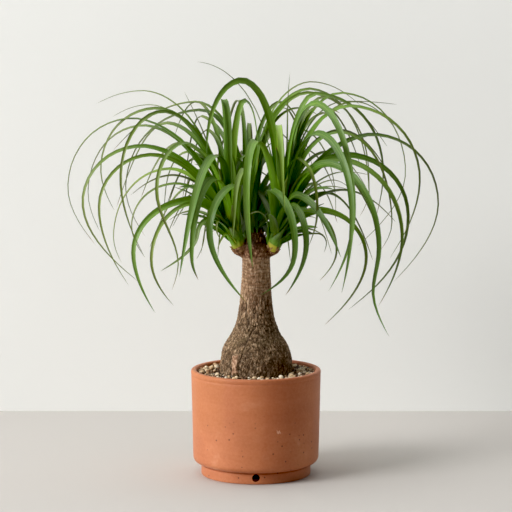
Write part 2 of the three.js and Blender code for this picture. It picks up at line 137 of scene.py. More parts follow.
def turnedFrom(start, angle):  # how far an angle is from the start, the short way round
    return (angle - start + math.pi) % (2 * math.pi) - math.pi


def shootFrame(head):  # the foot and the axis of a shoot, and the turn that lays +Z along it
    foot = Vector(head["foot"])
    axis = Vector(head["top"]) - foot
    return foot, axis, Vector((0, 0, 1)).rotation_difference(axis).to_matrix()


def sheetFaces(first, rows, columns, mirrored):  # two grids of points, back to back, closed by a rim
    wide = columns + 1
    back = first + (rows + 1) * wide
    grids = []
    for row in range(rows):
        for column in range(columns):
            a, b = first + row * wide + column, back + row * wide + column
            grids += [(a, a + 1, a + wide + 1, a + wide), (b + wide, b + wide + 1, b + 1, b)]
    edge = [row * wide for row in range(rows, 0, -1)] + list(range(columns))
    edge += [row * wide + columns for row in range(rows)]
    edge += [rows * wide + column for column in range(columns, 0, -1)]
    rims = [(first + b, first + a, back + a, back + b) for a, b in zip(edge, edge[1:] + edge[:1])]
    if mirrored:
        grids = [(face[0], face[3], face[2], face[1]) for face in grids]
        rims = [face[::-1] for face in rims]
    return grids + rims


# Finishes, written as expressions on the values of their nodes

class Signal:
    def __init__(self, finish, socket):
        self.finish = finish
        self.socket = socket

    def __add__(self, other):
        return self.finish.maths("ADD", self, other)

    def __sub__(self, other):
        return self.finish.maths("SUBTRACT", self, other)

    def __rsub__(self, other):
        return self.finish.maths("SUBTRACT", other, self)

    def __mul__(self, other):
        return self.finish.maths("MULTIPLY", self, other)

    __radd__ = __add__
    __rmul__ = __mul__


class Finish:
    def __init__(self, name):
        self.material = bpy.data.materials.new(name)
        self.material.use_nodes = True
        self.tree = self.material.node_tree
        self.tree.nodes.clear()

    def node(self, kind, settings=None, values=None, output=0):
        made = self.tree.nodes.new("ShaderNode" + kind)
        for name, setting in (settings or {}).items():
            if name == "stops":
                elements = made.color_ramp.elements
                elements.remove(elements[1])
                elements[0].position, elements[0].color = setting[0]
                for position, colour in setting[1:]:
                    elements.new(position).color = colour
            else:
                setattr(made, name, setting)
        for name, value in (values or {}).items():
            if isinstance(value, Signal):
                self.tree.links.new(value.socket, made.inputs[name])
            else:
                made.inputs[name].default_value = value
        return Signal(self, made.outputs[output])

    def maths(self, operation, first, second=0.0):
        return self.node("Math", {"operation": operation}, {0: first, 1: second})

    def limited(self, value):
        return self.node("Math", {"operation": "ADD", "use_clamp": True}, {0: value, 1: 0.0})

    def step(self, low, high, value):  # 0 below low, 1 above high, smooth between
        return self.node("MapRange", {"interpolation_type": "SMOOTHSTEP"},
                         {"Value": value, "From Min": low, "From Max": high})

    def mix(self, share, first, second, blend="MIX"):
        settings = {"data_type": "RGBA", "blend_type": blend}
        return self.node("Mix", settings, {0: share, 6: first, 7: second}, 2)

    def tint(self, body, share, *colour):  # lays a paint over the body by a share from 0 to 1
        return self.mix(self.limited(share), body, paint(*colour))

    def ramp(self, value, stops):  # each stop is a position and a paint
        painted = [(position, paint(*colour)) for position, *colour in stops]
        return self.node("ValToRGB", {"stops": painted}, {"Fac": value})

    def attribute(self, name):
        return self.node("Attribute", {"attribute_name": name}, output="Fac")

    def place(self, scale=(1, 1, 1)):  # where a point lies on the object, in metres times the scale
        spot = self.node("TexCoord", output="Object")
        return self.node("Mapping", None, {"Vector": spot, "Scale": scale})

    def cloud(self, vector, scale, detail=3.0, roughness=0.55):
        return self.node("TexNoise", None, {"Vector": vector, "Scale": scale, "Detail": detail,
                                            "Roughness": roughness})

    def cells(self, vector, scale):  # how far a point is from its cell's middle, and that cell's number
        away = self.node("TexVoronoi", {"feature": "F1"}, {"Vector": vector, "Scale": scale})
        colour = Signal(self, away.socket.node.outputs["Color"])
        return away, self.node("SeparateColor", None, {"Color": colour}, "Red")

    def along(self, vector, axis):
        return self.node("SeparateXYZ", None, {"Vector": vector}, axis)

    def bump(self, height, distance, strength, normal=None):
        values = {"Height": height, "Distance": distance, "Strength": strength}
        if normal:
            values["Normal"] = normal
        return self.node("Bump", None, values)

    def surface(self, **inputs):
        named = {name.replace("_", " "): value for name, value in inputs.items()}
        shader = self.node("BsdfPrincipled", None, named)
        output = self.tree.nodes.new("ShaderNodeOutputMaterial")
        self.tree.links.new(shader.socket, output.inputs["Surface"])
        return self.material


# Camera, at the height and distance that the picture was taken from

cameraPlan = {"distance": 3.0, "height": 0.6634, "pitch": 7.45, "lens": 173.5, "sensor": 36, "reach": 50}

camera = bpy.data.objects.new("camera", bpy.data.cameras.new("camera"))
camera.data.lens = cameraPlan["lens"]
camera.data.sensor_width = cameraPlan["sensor"]
camera.data.clip_end = cameraPlan["reach"]
camera.location = (0, -cameraPlan["distance"], cameraPlan["height"])
camera.rotation_euler = (math.radians(90 - cameraPlan["pitch"]), 0, 0)
bpy.context.scene.collection.objects.link(camera)
bpy.context.scene.camera = camera
print("camera placed")


# Pot

potPlan = {
    "rimRadius": 80, "waistRadius": 77.6, "height": 131, "wall": 7, "lip": 2.6, "lipLine": 6.2,
    "cornerTop": 23, "cornerRound": 8, "footRadius": 67.6, "footHeight": 14, "grooveDepth": 1.4,
    "footEdge": 1.5, "footShoulder": 1.2, "undersideRadius": 58, "undersideRise": 0.6,
    "underLip": [(-0.1, -1.3), (-0.55, -0.35), (-0.5, 0.2), (0.05, 1.1)],  # the faint groove
    "floorTop": 4.5, "insideFootTop": 13, "insideStepTop": 19, "insideStep": 1.5, "insideCornerTop": 34,
    "insideSlope": 2.1, "holeRadius": 4.8, "holeHeight": 8, "drillSides": 40,
    "sides": 224, "longest": 2.4, "sharpAngle": 50, "waver": 0.22, "chip": (27, -73.6, 66),
}


def potFinish():
    clay = Finish("fired terracotta")
    spot = clay.place()
    broad = clay.cloud(spot, 9, 2)
    patches = clay.cloud(clay.place((1, 1, 1.4)), 30, 4, 0.55)
    fine = clay.cloud(spot, 300, 4, 0.6)
    turning = clay.cloud(clay.place((0.5, 0.5, 7)), 12, 3)
    body = clay.ramp(broad * 0.65 + patches * 0.35, [
        (0.34, 178, 101, 59), (0.48, 190, 111, 67), (0.60, 198, 119, 74), (0.74, 205, 133, 87),
    ])
    height = clay.along(spot, "Z")
    x = clay.along(spot, "X") + (broad - 0.5) * 0.06
    # painted shade: the right side of the pot, turned from the lamps, is tinted a darker brown in a band
    paintedShadeBand = clay.step(0.000, 0.020, x) * (1 - clay.step(0.044, 0.066, x))
    body = clay.tint(body, paintedShadeBand * 0.45, 176, 88, 44)
    # painted light: a warmer orange patch on the left side above mid-height, the side the lamps fall on
    paintedLitPatch = (1 - clay.step(-0.052, -0.040, x)) * clay.step(0.045, 0.075, height)
    body = clay.tint(body, paintedLitPatch * 0.5, 186, 110, 56)
    chalk = clay.step(0.60, 0.78, patches) * 0.22
    body = clay.tint(body, chalk, 226, 172, 140)
    body = clay.mix(0.10, body, clay.ramp(turning, [(0.3, 172, 96, 58), (0.7, 226, 154, 112)]))
    body = clay.mix(0.05, body, clay.ramp(fine, [(0.35, 128, 68, 40), (0.65, 240, 190, 160)]))
    low = 1 - clay.step(0.060, 0.085, height)
    # painted shade: the small pits are darkened as the shade inside them, with more of them low on the pot
    specks, chosen = clay.cells(spot, 190)
    pits = (1 - clay.step(0.14, 0.25, specks)) * clay.step(0.77, 0.81, chosen) * (0.1 + 0.9 * low)
    body = clay.tint(body, pits * 0.8, 96, 48, 26)
    chipCentre = Vector(potPlan["chip"]) * mm
    away = clay.node("VectorMath", {"operation": "DISTANCE"}, {0: spot, 1: chipCentre}, "Value")
    ragged = clay.cloud(clay.place((1, 1, 0.6)), 420, 3)
    chip = 1 - clay.step(0.0012, 0.0024, away + (ragged - 0.5) * 0.009)
    body = clay.tint(body, chip * 0.8, 228, 176, 144)
    bloom = clay.cloud(spot, 900, 2) * (1 - clay.step(0.0, 0.03, height))
    body = clay.tint(body, clay.step(0.5, 0.8, bloom) * 0.25, 232, 184, 150)
    normal = clay.bump(fine, 0.0003, 0.25)
    normal = clay.bump(1 - pits - chip * 0.6, 0.0006, 0.6, normal)
    return clay.surface(Base_Color=body, Roughness=0.62 + 0.14 * (patches - 0.5), Normal=normal,
                        Specular_IOR_Level=0.5, Sheen_Weight=0.1, Sheen_Roughness=0.4)


def potOutline(plan):
    rim, foot, height, lip = plan["rimRadius"], plan["footRadius"], plan["height"], plan["lip"]
    edge, shoulder, corner = plan["footEdge"], plan["footShoulder"], plan["cornerRound"]
    inner, insideFoot, groove = rim - plan["wall"], foot - plan["wall"], foot - plan["grooveDepth"]
    low, insideStep = plan["undersideRadius"], insideFoot + plan["insideStep"]
    slope = (rim - plan["waistRadius"]) / (height - plan["cornerTop"])
    lipHeight, lipRadius = height - plan["lipLine"], rim - slope * plan["lipLine"]
    return [
        (0, plan["undersideRise"]), (low, plan["undersideRise"]), (low + 3, 0), (foot - edge, 0),
        *roundCorner(foot - edge, edge, edge, -90, 0, 5)[1:],
        *roundCorner(foot - shoulder, plan["footHeight"] - 2 * shoulder, shoulder, 0, 70, 4),
        (groove, plan["footHeight"] - shoulder / 2), (groove, plan["footHeight"]),
        *roundCorner(plan["waistRadius"] - corner, plan["cornerTop"], corner, -80, 0, 12),
        *[(lipRadius + out, lipHeight + up) for out, up in plan["underLip"]],
        *roundCorner(rim - lip, height - lip, lip, 0, 90, 8),
        *roundCorner(inner + lip, height - lip, lip, 90, 180, 8),
        (inner - plan["insideSlope"], plan["insideCornerTop"]), (insideStep, plan["insideStepTop"]),
        (insideFoot, plan["insideFootTop"]), (insideFoot, plan["floorTop"]), (0, plan["floorTop"]),
    ]


def makePot(plan):
    def waver(point, angle):
        x, y, z = point
        spread = math.hypot(x, y)
        swell = noise.noise(Vector((x, y, z)) / 55) + 0.35 * noise.noise(Vector((x / 30, y / 30, z / 7)))
        share = smoothStep(0, 4, z) * smoothStep(40, 60, spread)
        grown = 1 + plan["waver"] * share * swell / max(spread, 1)
        return (x * grown, y * grown, z)

    outline = splitLong(potOutline(plan), plan["longest"])
    vertices, faces = turnOutline(outline, plan["sides"], waver)
    pot = makePiece("pot_body", vertices, faces, potFinish(), "pot", plan["sharpAngle"])
    drill = bpy.data.meshes.new("drill")
    count, radius = plan["drillSides"], plan["holeRadius"]
    angles = np.linspace(0, 2 * math.pi, count, endpoint=False)
    near, far = -plan["footRadius"] - plan["wall"], -plan["footRadius"] + plan["wall"] + 2
    corners = [Vector((radius * math.cos(a), y, radius * math.sin(a) + plan["holeHeight"])) * mm
               for y in (near, far) for a in angles]
    sides = [(i, count + i, count + (i + 1) % count, (i + 1) % count) for i in range(count)]
    ends = [tuple(range(count)), tuple(range(2 * count - 1, count - 1, -1))]
    drill.from_pydata(corners, [], sides + ends)
    cutter = bpy.data.objects.new("drill", drill)
    bpy.context.scene.collection.objects.link(cutter)
    cut = pot.modifiers.new("drain hole", "BOOLEAN")
    cut.operation, cut.solver, cut.object = "DIFFERENCE", "EXACT", cutter
    bpy.context.view_layer.update()
    finished = bpy.data.meshes.new_from_object(pot.evaluated_get(bpy.context.evaluated_depsgraph_get()))
    pot.modifiers.clear()
    pot.data = finished
    smoothMesh(finished, plan["sharpAngle"])
    bpy.data.objects.remove(cutter)


makePot(potPlan)


# Soil and gravel

soilPlan = {"deep": (36, 26, 18), "dark": (58, 42, 28), "light": (84, 62, 42)}


def soilFinish(plan):
    earth = Finish("potting soil")
    spot = earth.place()
    clumps = earth.cloud(spot, 260, 5, 0.7)
    crumbs = earth.node("TexVoronoi", {"feature": "F1"}, {"Vector": spot, "Scale": 520})
    body = earth.ramp(clumps, [(0.3, *plan["deep"]), (0.5, *plan["dark"]), (0.72, *plan["light"])])
    return earth.surface(Base_Color=body, Roughness=0.95, Normal=earth.bump(clumps + crumbs, 0.002, 0.8))


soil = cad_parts["soil"]
soil.data.materials.clear()
soil.data.materials.append(soilFinish(soilPlan))
print("soil coloured")

gravelPlan = {
    "bottom": 119, "level": 127.4, "inner": 45.2, "outer": 72.4, "sides": 200, "seed": 71,
    "rings": 22, "pebbles": 430, "smallest": 0.8, "largest": 3.2, "roundFrom": 1.7, "paleFrom": 2,
    "stretch": [(0.92, 1.15), (0.75, 1.0), (0.68, 0.9)], "closeness": 0.80, "tries": 12000,
}


def gritFinish():
    grit = Finish("dark grit")
    spot = grit.place()
    clumps = grit.cloud(spot, 300, 5, 0.7)
    middle, pick = grit.cells(spot, 420)
    body = grit.ramp(pick, [
        (0.0, 40, 24, 14), (0.45, 72, 46, 29), (0.75, 108, 74, 48), (0.92, 146, 108, 74),
        (1.0, 192, 156, 116),
    ])
    body = grit.mix(clumps, body, paint(34, 24, 17), "MULTIPLY")
    return grit.surface(Base_Color=body, Roughness=0.93, Normal=grit.bump(1 - middle, 0.0015, 0.9))


def pebbleFinish():
    stone = Finish("cream pebbles")
    spot = stone.place()
    tone = stone.attribute("tone")
    veins = stone.cloud(spot, 330, 4, 0.65)
    body = stone.ramp(tone, [
        (0.0, 62, 40, 25), (0.12, 98, 68, 44), (0.28, 140, 102, 70), (0.42, 186, 148, 108),
        (0.54, 212, 180, 138), (0.70, 228, 200, 160), (0.86, 238, 216, 182), (1.0, 246, 232, 208),
    ])
    body = stone.tint(body, stone.step(0.5, 0.72, veins) * 0.4, 170, 132, 96)
    dust = stone.cloud(spot, 1100, 3)
    body = stone.tint(body, stone.step(0.52, 0.7, dust) * 0.3, 112, 84, 60)
    return stone.surface(Base_Color=body, Roughness=0.72, Normal=stone.bump(dust + veins, 0.0005, 0.5))


def makeGravel(plan):
    def heap(point, angle):
        x, y, z = point
        if z < plan["level"] - 0.5:
            return point
        spot = Vector((x, y, 0))
        return (x, y, z + 0.9 * noise.noise(spot / 9) + 0.5 * noise.noise(spot / 2.6))

    width = plan["outer"] - plan["inner"]
    rings = plan["rings"]
    top = [(plan["outer"] - width * i / rings, plan["level"]) for i in range(rings + 1)]
    outline = [(plan["inner"], plan["bottom"]), (plan["outer"], plan["bottom"]), *top]
    vertices, faces = turnOutline(outline, plan["sides"], heap, closed=True)
    makePiece("grit_bed", vertices, faces, gritFinish(), "gravel_topping", 60)

    draw = random.Random(plan["seed"])
    fine, coarse = icoBall(2), icoBall(1)
    spots = []
    vertices, faces, tones = [], [], []
    for _ in range(plan["tries"]):
        if len(spots) >= plan["pebbles"]:
            break
        size = lerp(plan["smallest"], plan["largest"], draw.random() ** 2.0)
        angle = draw.random() * 2 * math.pi
        reach = lerp(plan["inner"] + 0.8 * size, plan["outer"] - size - 0.3, draw.random() ** 0.8)
        x, y = reach * math.cos(angle), reach * math.sin(angle)
        if any(math.dist((x, y), spot) < plan["closeness"] * (size + other) for *spot, other in spots):
            continue
        spots.append((x, y, size))
        turn = Matrix.Rotation(draw.random() * 6.28, 3, "Z")
        turn = turn @ Matrix.Rotation((draw.random() - 0.5) * 0.9, 3, "X")
        stretch = Vector([lerp(*span, draw.random()) for span in plan["stretch"]])
        offset = Vector([draw.random() for _ in range(3)]) * 50
        lift = plan["level"] + size * lerp(0.05, 0.6, draw.random())
        ballVertices, ballFaces = fine if size > plan["roundFrom"] else coarse
        first = len(vertices)
        for corner in ballVertices:
            bulge = 1 + 0.13 * noise.noise(corner * 1.3 + offset)
            bulge += 0.05 * noise.noise(corner * 3.1 + offset)
            vertices.append(turn @ (corner * bulge * size * stretch) + Vector((x, y, lift)))
        faces.extend([tuple(first + i for i in face) for face in ballFaces])
        tone = draw.random() ** (0.5 if size > plan["paleFrom"] else 0.95)
        tones.extend([tone] * len(ballVertices))
    pebbles = makePiece("pebbles", vertices, faces, pebbleFinish(), "gravel_topping", 70)
    keepValues(pebbles, "tone", tones)


def icoBall(rounds):
    wide = (1 + 5 ** 0.5) / 2
    corners = [(-1, wide, 0), (1, wide, 0), (-1, -wide, 0), (1, -wide, 0), (0, -1, wide), (0, 1, wide),
               (0, -1, -wide), (0, 1, -wide), (wide, 0, -1), (wide, 0, 1), (-wide, 0, -1), (-wide, 0, 1)]
    corners = [Vector(corner).normalized() for corner in corners]
    faces = [(0, 11, 5), (0, 5, 1), (0, 1, 7), (0, 7, 10), (0, 10, 11), (1, 5, 9), (5, 11, 4), (11, 10, 2),
             (10, 7, 6), (7, 1, 8), (3, 9, 4), (3, 4, 2), (3, 2, 6), (3, 6, 8), (3, 8, 9), (4, 9, 5),
             (2, 4, 11), (6, 2, 10), (8, 6, 7), (9, 8, 1)]
    for _ in range(rounds):
        middles, split = {}, []
        for face in faces:
            halves = []
            for i in range(3):
                pair = tuple(sorted((face[i], face[(i + 1) % 3])))
                if pair not in middles:
                    middles[pair] = len(corners)
                    corners.append((corners[pair[0]] + corners[pair[1]]).normalized())
                halves.append(middles[pair])
            a, b, c = face
            ab, bc, ca = halves
            split.extend([(a, ab, ca), (b, bc, ab), (c, ca, bc), (ab, bc, ca)])
        faces = split
    return corners, faces


makeGravel(gravelPlan)


# Trunk, with a brown collar round the foot of each shoot

headPlan = {
    "left": {"foot": (-15, -1, 272), "top": (-41, -2, 330)},
    "right": {"foot": (14.5, -1, 272), "top": (41, -2, 330)},
    "back": {"foot": (-6, 15, 272), "top": (-12, 34, 330)},
}
cupOutline = [(-0.06, 1.5), (0, 4.5), (0.06, 8.2), (0.11, 10.4), (0.16, 11.4), (0.2, 10.8)]
cupShares, cupRadii = zip(*cupOutline)

trunkPlan = {
    "outline": [(70, 22), (74, 32), (84, 40.5), (100, 44.6), (128, 44.6), (142, 44), (154, 41.8),
                (161, 39.2), (167, 36), (173, 31.7), (179, 28.6), (186, 25.6), (193, 23.4), (204, 21.4),
                (217, 19.8), (235, 18.6), (254, 17.4), (268, 17), (283, 16.6), (292, 13.5), (299, 9)],
    "soilLine": 128, "lumps": 0.012, "sides": 320, "row": 0.72, "buriedRow": 8, "barkFrom": 119,
    "cupSize": 0.95, "collarLow": 266, "collarHigh": 291, "collarFar": 42, "collarStep": 1.2,
    "halvings": 4, "collarBlend": 4, "ragged": 1.6,
    "swellTop": (164, 186), "plates": [(2.7, 2.5), (2.7, 2.5), (9.5, 4.6)],  # on stem and swelling
    "crackDepth": 0.95, "creaseWidth": 0.9, "creaseLip": 4.0, "ringsFrom": (212, 240), "ringHeight": 3.7,
    "creases": [  # depth in mm, then the bearing in degrees and the height of each crease in the bark
        (1.9, [(-91, 187), (-100.5, 181), (-108.7, 172), (-112.3, 162), (-115.8, 150.5), (-118, 137),
               (-118.5, 126)]),
        (1.6, [(-133.8, 150), (-135.1, 143.4), (-135, 135), (-134, 127)]),
        (0.9, [(-150, 185), (-132, 189), (-112, 190), (-92, 187.5)]),
        (0.9, [(-92, 187.5), (-74, 190), (-52, 187), (-30, 189), (-12, 185)]),
        (1.6, [(62, 171), (75, 158), (79, 146)]), (1.6, [(160, 166), (150, 152), (152, 138)]),
    ],
    "scar": {"bearing": -126.5, "low": 128, "high": 153, "half": 4.2},
}


def trunkRadius(plan, height):
    outline = plan["outline"]
    index = 0
    while index < len(outline) - 2 and outline[index + 1][0] < height:
        index += 1
    (h1, r1), (h2, r2) = outline[index], outline[index + 1]
    h0, r0 = outline[max(index - 1, 0)]
    h3, r3 = outline[min(index + 2, len(outline) - 1)]
    span = h2 - h1
    share = clamp((height - h1) / span)
    startSlope = (r2 - r0) / (h2 - h0) * span
    endSlope = (r3 - r1) / (h3 - h1) * span
    s2, s3 = share * share, share * share * share
    return ((2 * s3 - 3 * s2 + 1) * r1 + (s3 - 2 * s2 + share) * startSlope
            + (3 * s2 - 2 * s3) * r2 + (s3 - s2) * endSlope)


def inCup(head, x, y, height):
    foot, top = Vector(head["foot"]), Vector(head["top"])
    axis = top - foot
    away = Vector((x, y, height)) - foot
    share = away.dot(axis) / axis.length_squared
    if not cupShares[0] < share < cupShares[-1]:
        return False
    radius = trunkPlan["cupSize"] * float(np.interp(share, cupShares, cupRadii))
    return (away - axis * share).length < radius


def collarReach(angle, height):  # how far out the brown collar comes, 0 where there is none
    if not trunkPlan["collarLow"] < height < trunkPlan["collarHigh"]:
        return 0
    reach, right, back = 0, math.cos(angle), math.sin(angle)
    for head in headPlan.values():
        radius = trunkPlan["collarFar"]
        while radius > reach and not inCup(head, radius * right, radius * back, height):
            radius -= trunkPlan["collarStep"]
        if radius > reach:
            inside, outside = radius, radius + trunkPlan["collarStep"]
            for _ in range(trunkPlan["halvings"]):
                middle = (inside + outside) / 2
                if inCup(head, middle * right, middle * back, height):
                    inside = middle
                else:
                    outside = middle
            reach = inside
    return reach


def softMax(first, second, blend):
    near = max(blend - abs(first - second), 0) / blend
    return max(first, second) + near * near * blend / 4


def toLine(spot, line):  # how far a flat point is from a broken line, and on which side
    best, side = 1e9, 1
    for (ax, ay), (bx, by) in zip(line, line[1:]):
        dx, dy = bx - ax, by - ay
        share = clamp(((spot[0] - ax) * dx + (spot[1] - ay) * dy) / (dx * dx + dy * dy))
        away = math.hypot(spot[0] - ax - share * dx, spot[1] - ay - share * dy)
        if away < best:
            best = away
            side = 1 if dx * (spot[1] - ay) - dy * (spot[0] - ax) > 0 else -1
    return best, side


def barkAt(plan, angle, height, radius):  # how far the bark stands out, its cracks (which the finish darkens as painted shade) and its scar
    x, y = radius * math.cos(angle), radius * math.sin(angle)
    spot = Vector((x, y, height))
    shifted = spot / 6 + Vector((31, 7, 3))
    sway = Vector((noise.noise(spot / 6), noise.noise(shifted), noise.noise(spot / 7)))
    swell = 1 - smoothStep(*plan["swellTop"], height)
    upper = smoothStep(*plan["ringsFrom"], height)
    middle = 1 - max(swell, upper)
    plateSize = Vector([lerp(*span, swell) for span in plan["plates"]])
    warped = Vector((x / plateSize.x, y / plateSize.y, height / plateSize.z)) + 0.45 * sway
    near = noise.voronoi(warped)[0]
    plates = 1 - smoothStep(0.03, 0.30, near[1] - near[0])
    streak = noise.noise(Vector((x / 2.6, y / 2.6, height / 19)) + 0.5 * sway)
    fissure = 1 - smoothStep(0.02, 0.17, abs(streak))
    grain = noise.noise(spot / 1.5) + 0.6 * noise.noise(spot / 0.8)
    ringSpot = height + 2.4 * noise.noise(Vector((x / 12, y / 12, height / 30)))
    ring = 0.5 + 0.5 * math.sin(2 * math.pi * ringSpot / plan["ringHeight"])
    ring = ring ** 3 * smoothStep(-0.35, 0.1, noise.noise(Vector((x / 8, y / 8, ringSpot / 3))))
    crack = swell * max(0.8 * plates, 0.35 * fissure) + middle * max(fissure, 0.6 * plates)
    crack += upper * max(0.55 * ring, 0.35 * fissure * plates)
    offset = (0.34 - 0.14 * upper) * grain - plan["crackDepth"] * crack
    offset += 0.7 * swell * noise.noise(spot / 14)
    offset += 0.5 * middle * noise.noise(Vector((x / 6, y / 6, height / 30)))
    for depth, line in plan["creases"]:
        turn = math.radians(line[0][0])
        if abs(turnedFrom(turn, angle)) > 1.6:  # on the far side
            continue
        flat = [(radius * math.radians(bearing), level) for bearing, level in line]
        away, side = toLine((radius * (turnedFrom(turn, angle) + turn), height), flat)
        away += 0.8 * noise.noise(spot / 2) + 0.6 * noise.noise(spot / 5)
        groove = math.exp(-(max(away, 0) / plan["creaseWidth"]) ** 2)
        lip = side * math.exp(-(away / plan["creaseLip"]) ** 2) * (1 - groove)
        offset += depth * (0.55 * lip - groove)
        crack = max(crack, groove * min(1, 0.4 + 0.35 * depth))
    scar = plan["scar"]
    aside = radius * turnedFrom(math.radians(scar["bearing"]), angle)
    level = (height - (scar["low"] + scar["high"]) / 2) / ((scar["high"] - scar["low"]) / 2)
    edge = max(abs(aside) / scar["half"], abs(level)) + 0.45 * noise.noise(spot / 3)
    bare = 1 - smoothStep(0.75, 1.0, edge)
    stain = noise.noise(spot / 3.2)
    offset = lerp(offset, 0.5 + 0.22 * grain - 0.5 * smoothStep(0.1, 0.4, stain), bare)
    crack = lerp(crack, 0.35 * smoothStep(0.0, 0.4, stain), bare)
    return offset, clamp(crack), bare


def barkFinish():
    bark = Finish("fissured bark")
    spot = bark.place()
    height = bark.along(spot, "Z")
    crack = bark.attribute("crack")
    scar = bark.attribute("scar")
    flakes = bark.cloud(bark.place((1, 1, 0.5)), 380, 4, 0.66)
    broad = bark.cloud(spot, 34, 3)
    fine = bark.cloud(spot, 1000, 3, 0.7)
    stem = bark.step(0.178, 0.232, height)
    lower = bark.ramp(flakes, [
        (0.36, 52, 37, 26), (0.46, 112, 87, 64), (0.54, 162, 132, 102), (0.65, 222, 194, 162),
    ])
    upper = bark.ramp(flakes, [
        (0.34, 90, 60, 42), (0.46, 154, 115, 86), (0.56, 192, 156, 126), (0.66, 238, 208, 176),
    ])
    body = bark.mix(stem, lower, upper)
    body = bark.mix(0.28, body, bark.ramp(broad, [(0.35, 88, 64, 42), (0.65, 176, 146, 110)]))
    specks = bark.step(0.56, 0.68, fine)
    body = bark.tint(body, specks * 0.3, 204, 184, 150)
    moss = bark.step(0.52, 0.70, bark.cloud(spot, 58, 3)) * (1 - stem)
    body = bark.tint(body, moss * 0.24, 104, 96, 58)
    # painted shade in the cracks, creases and rings of the bark; on the scar the same value carries its
    # real stain
    body = bark.tint(body, crack * 0.9, 34, 23, 16)
    bare = bark.ramp(flakes, [(0.38, 112, 80, 58), (0.5, 176, 138, 110), (0.62, 220, 186, 156)])
    body = bark.mix(scar, body, bark.mix(bark.limited(crack), bare, paint(112, 76, 54)))
    collar = bark.step(0.267, 0.274, height)
    rust = bark.ramp(flakes, [
        (0.36, 36, 20, 12), (0.5, 98, 60, 40), (0.58, 126, 84, 58), (0.68, 206, 168, 128),
    ])
    body = bark.mix(bark.limited(collar * 0.8), body, rust)
    # painted shade: the top of the trunk between the shoots is darkened almost to black, as the shade
    # under the leaf heads
    crown = bark.step(0.278, 0.290, height)
    body = bark.tint(body, crown * 0.85, 34, 23, 16)
    return bark.surface(Base_Color=body, Roughness=0.88, Specular_IOR_Level=0.25,
                        Normal=bark.bump(flakes * 0.8 + fine * 0.4, 0.0012, 0.6))


def makeTrunk(plan):
    bottom, top, barkFrom = plan["outline"][0][0], plan["outline"][-1][0], plan["barkFrom"]
    rows = [*np.arange(bottom, barkFrom, plan["buriedRow"]), *np.arange(barkFrom, top, plan["row"]), top]
    outline = [(0, rows[0])] + [(trunkRadius(plan, row), row) for row in rows] + [(0, top + 1)]
    cracks, scars = [], []

    def bark(point, angle):
        x, y, height = point
        radius = math.hypot(x, y)
        share = clamp((height - plan["soilLine"]) / 20)
        wave = math.sin(3 * angle + height / 17) + 0.6 * math.sin(5 * angle - height / 11)
        grown = radius * (1 + plan["lumps"] * share * wave)
        rim = plan["ragged"] * noise.noise(outwardAt(angle) * 4)
        grown = softMax(grown, collarReach(angle, height - rim), plan["collarBlend"])
        offset, crack, scar = (0, 0, 0) if height < barkFrom else barkAt(plan, angle, height, radius)
        cracks.append(crack)
        scars.append(scar)
        grown += offset
        return (grown * math.cos(angle), grown * math.sin(angle), height)

    vertices, faces = turnOutline(outline, plan["sides"], bark)
    trunk = makePiece("trunk_bark", vertices, faces, barkFinish(), "trunk", 70)
    keepValues(trunk, "crack", [0] + cracks + [1])
    keepValues(trunk, "scar", [0] + scars + [0])


makeTrunk(trunkPlan)


# Leaves

bladePlan = {
    "rootOffset": 4, "lowRoot": 287, "highRoot": 314, "lowCrest": 320, "highCrest": 470,
    "rootWidth": 0.8, "widensUntil": 0.18, "taper": 2.6, "sidewaysReach": 40, "roll": 38, "rootTurn": 0.6,
    "curl": 1.8, "upright": 16, "rise": 12, "fall": 14, "tail": 11, "points": 34, "softening": 3,
    "thickness": 0.7, "edge": 0.45, "channel": 0.24, "sway": 1.6, "twist": 16, "dryShare": 0.3,
    "broadRoot": 12, "slim": 0.87, "full": 1.05, "slenderFrom": 0.46, "shootStep": 4, "shootSides": 28,
    "tops": [-1, -0.66, -0.3, 0, 0.3, 0.66, 1], "unders": [0.62, 0, -0.62],  # places across a blade
}
eyePlan = {"distance": 3000, "height": 663}
shootOutline = [(0.02, 2), (0.07, 5.5), (0.12, 7.8), (0.2, 9.2), (0.42, 9), (0.68, 7), (0.88, 4.6),
                (1, 2.4)]
shootShares, shootRadii = zip(*shootOutline)

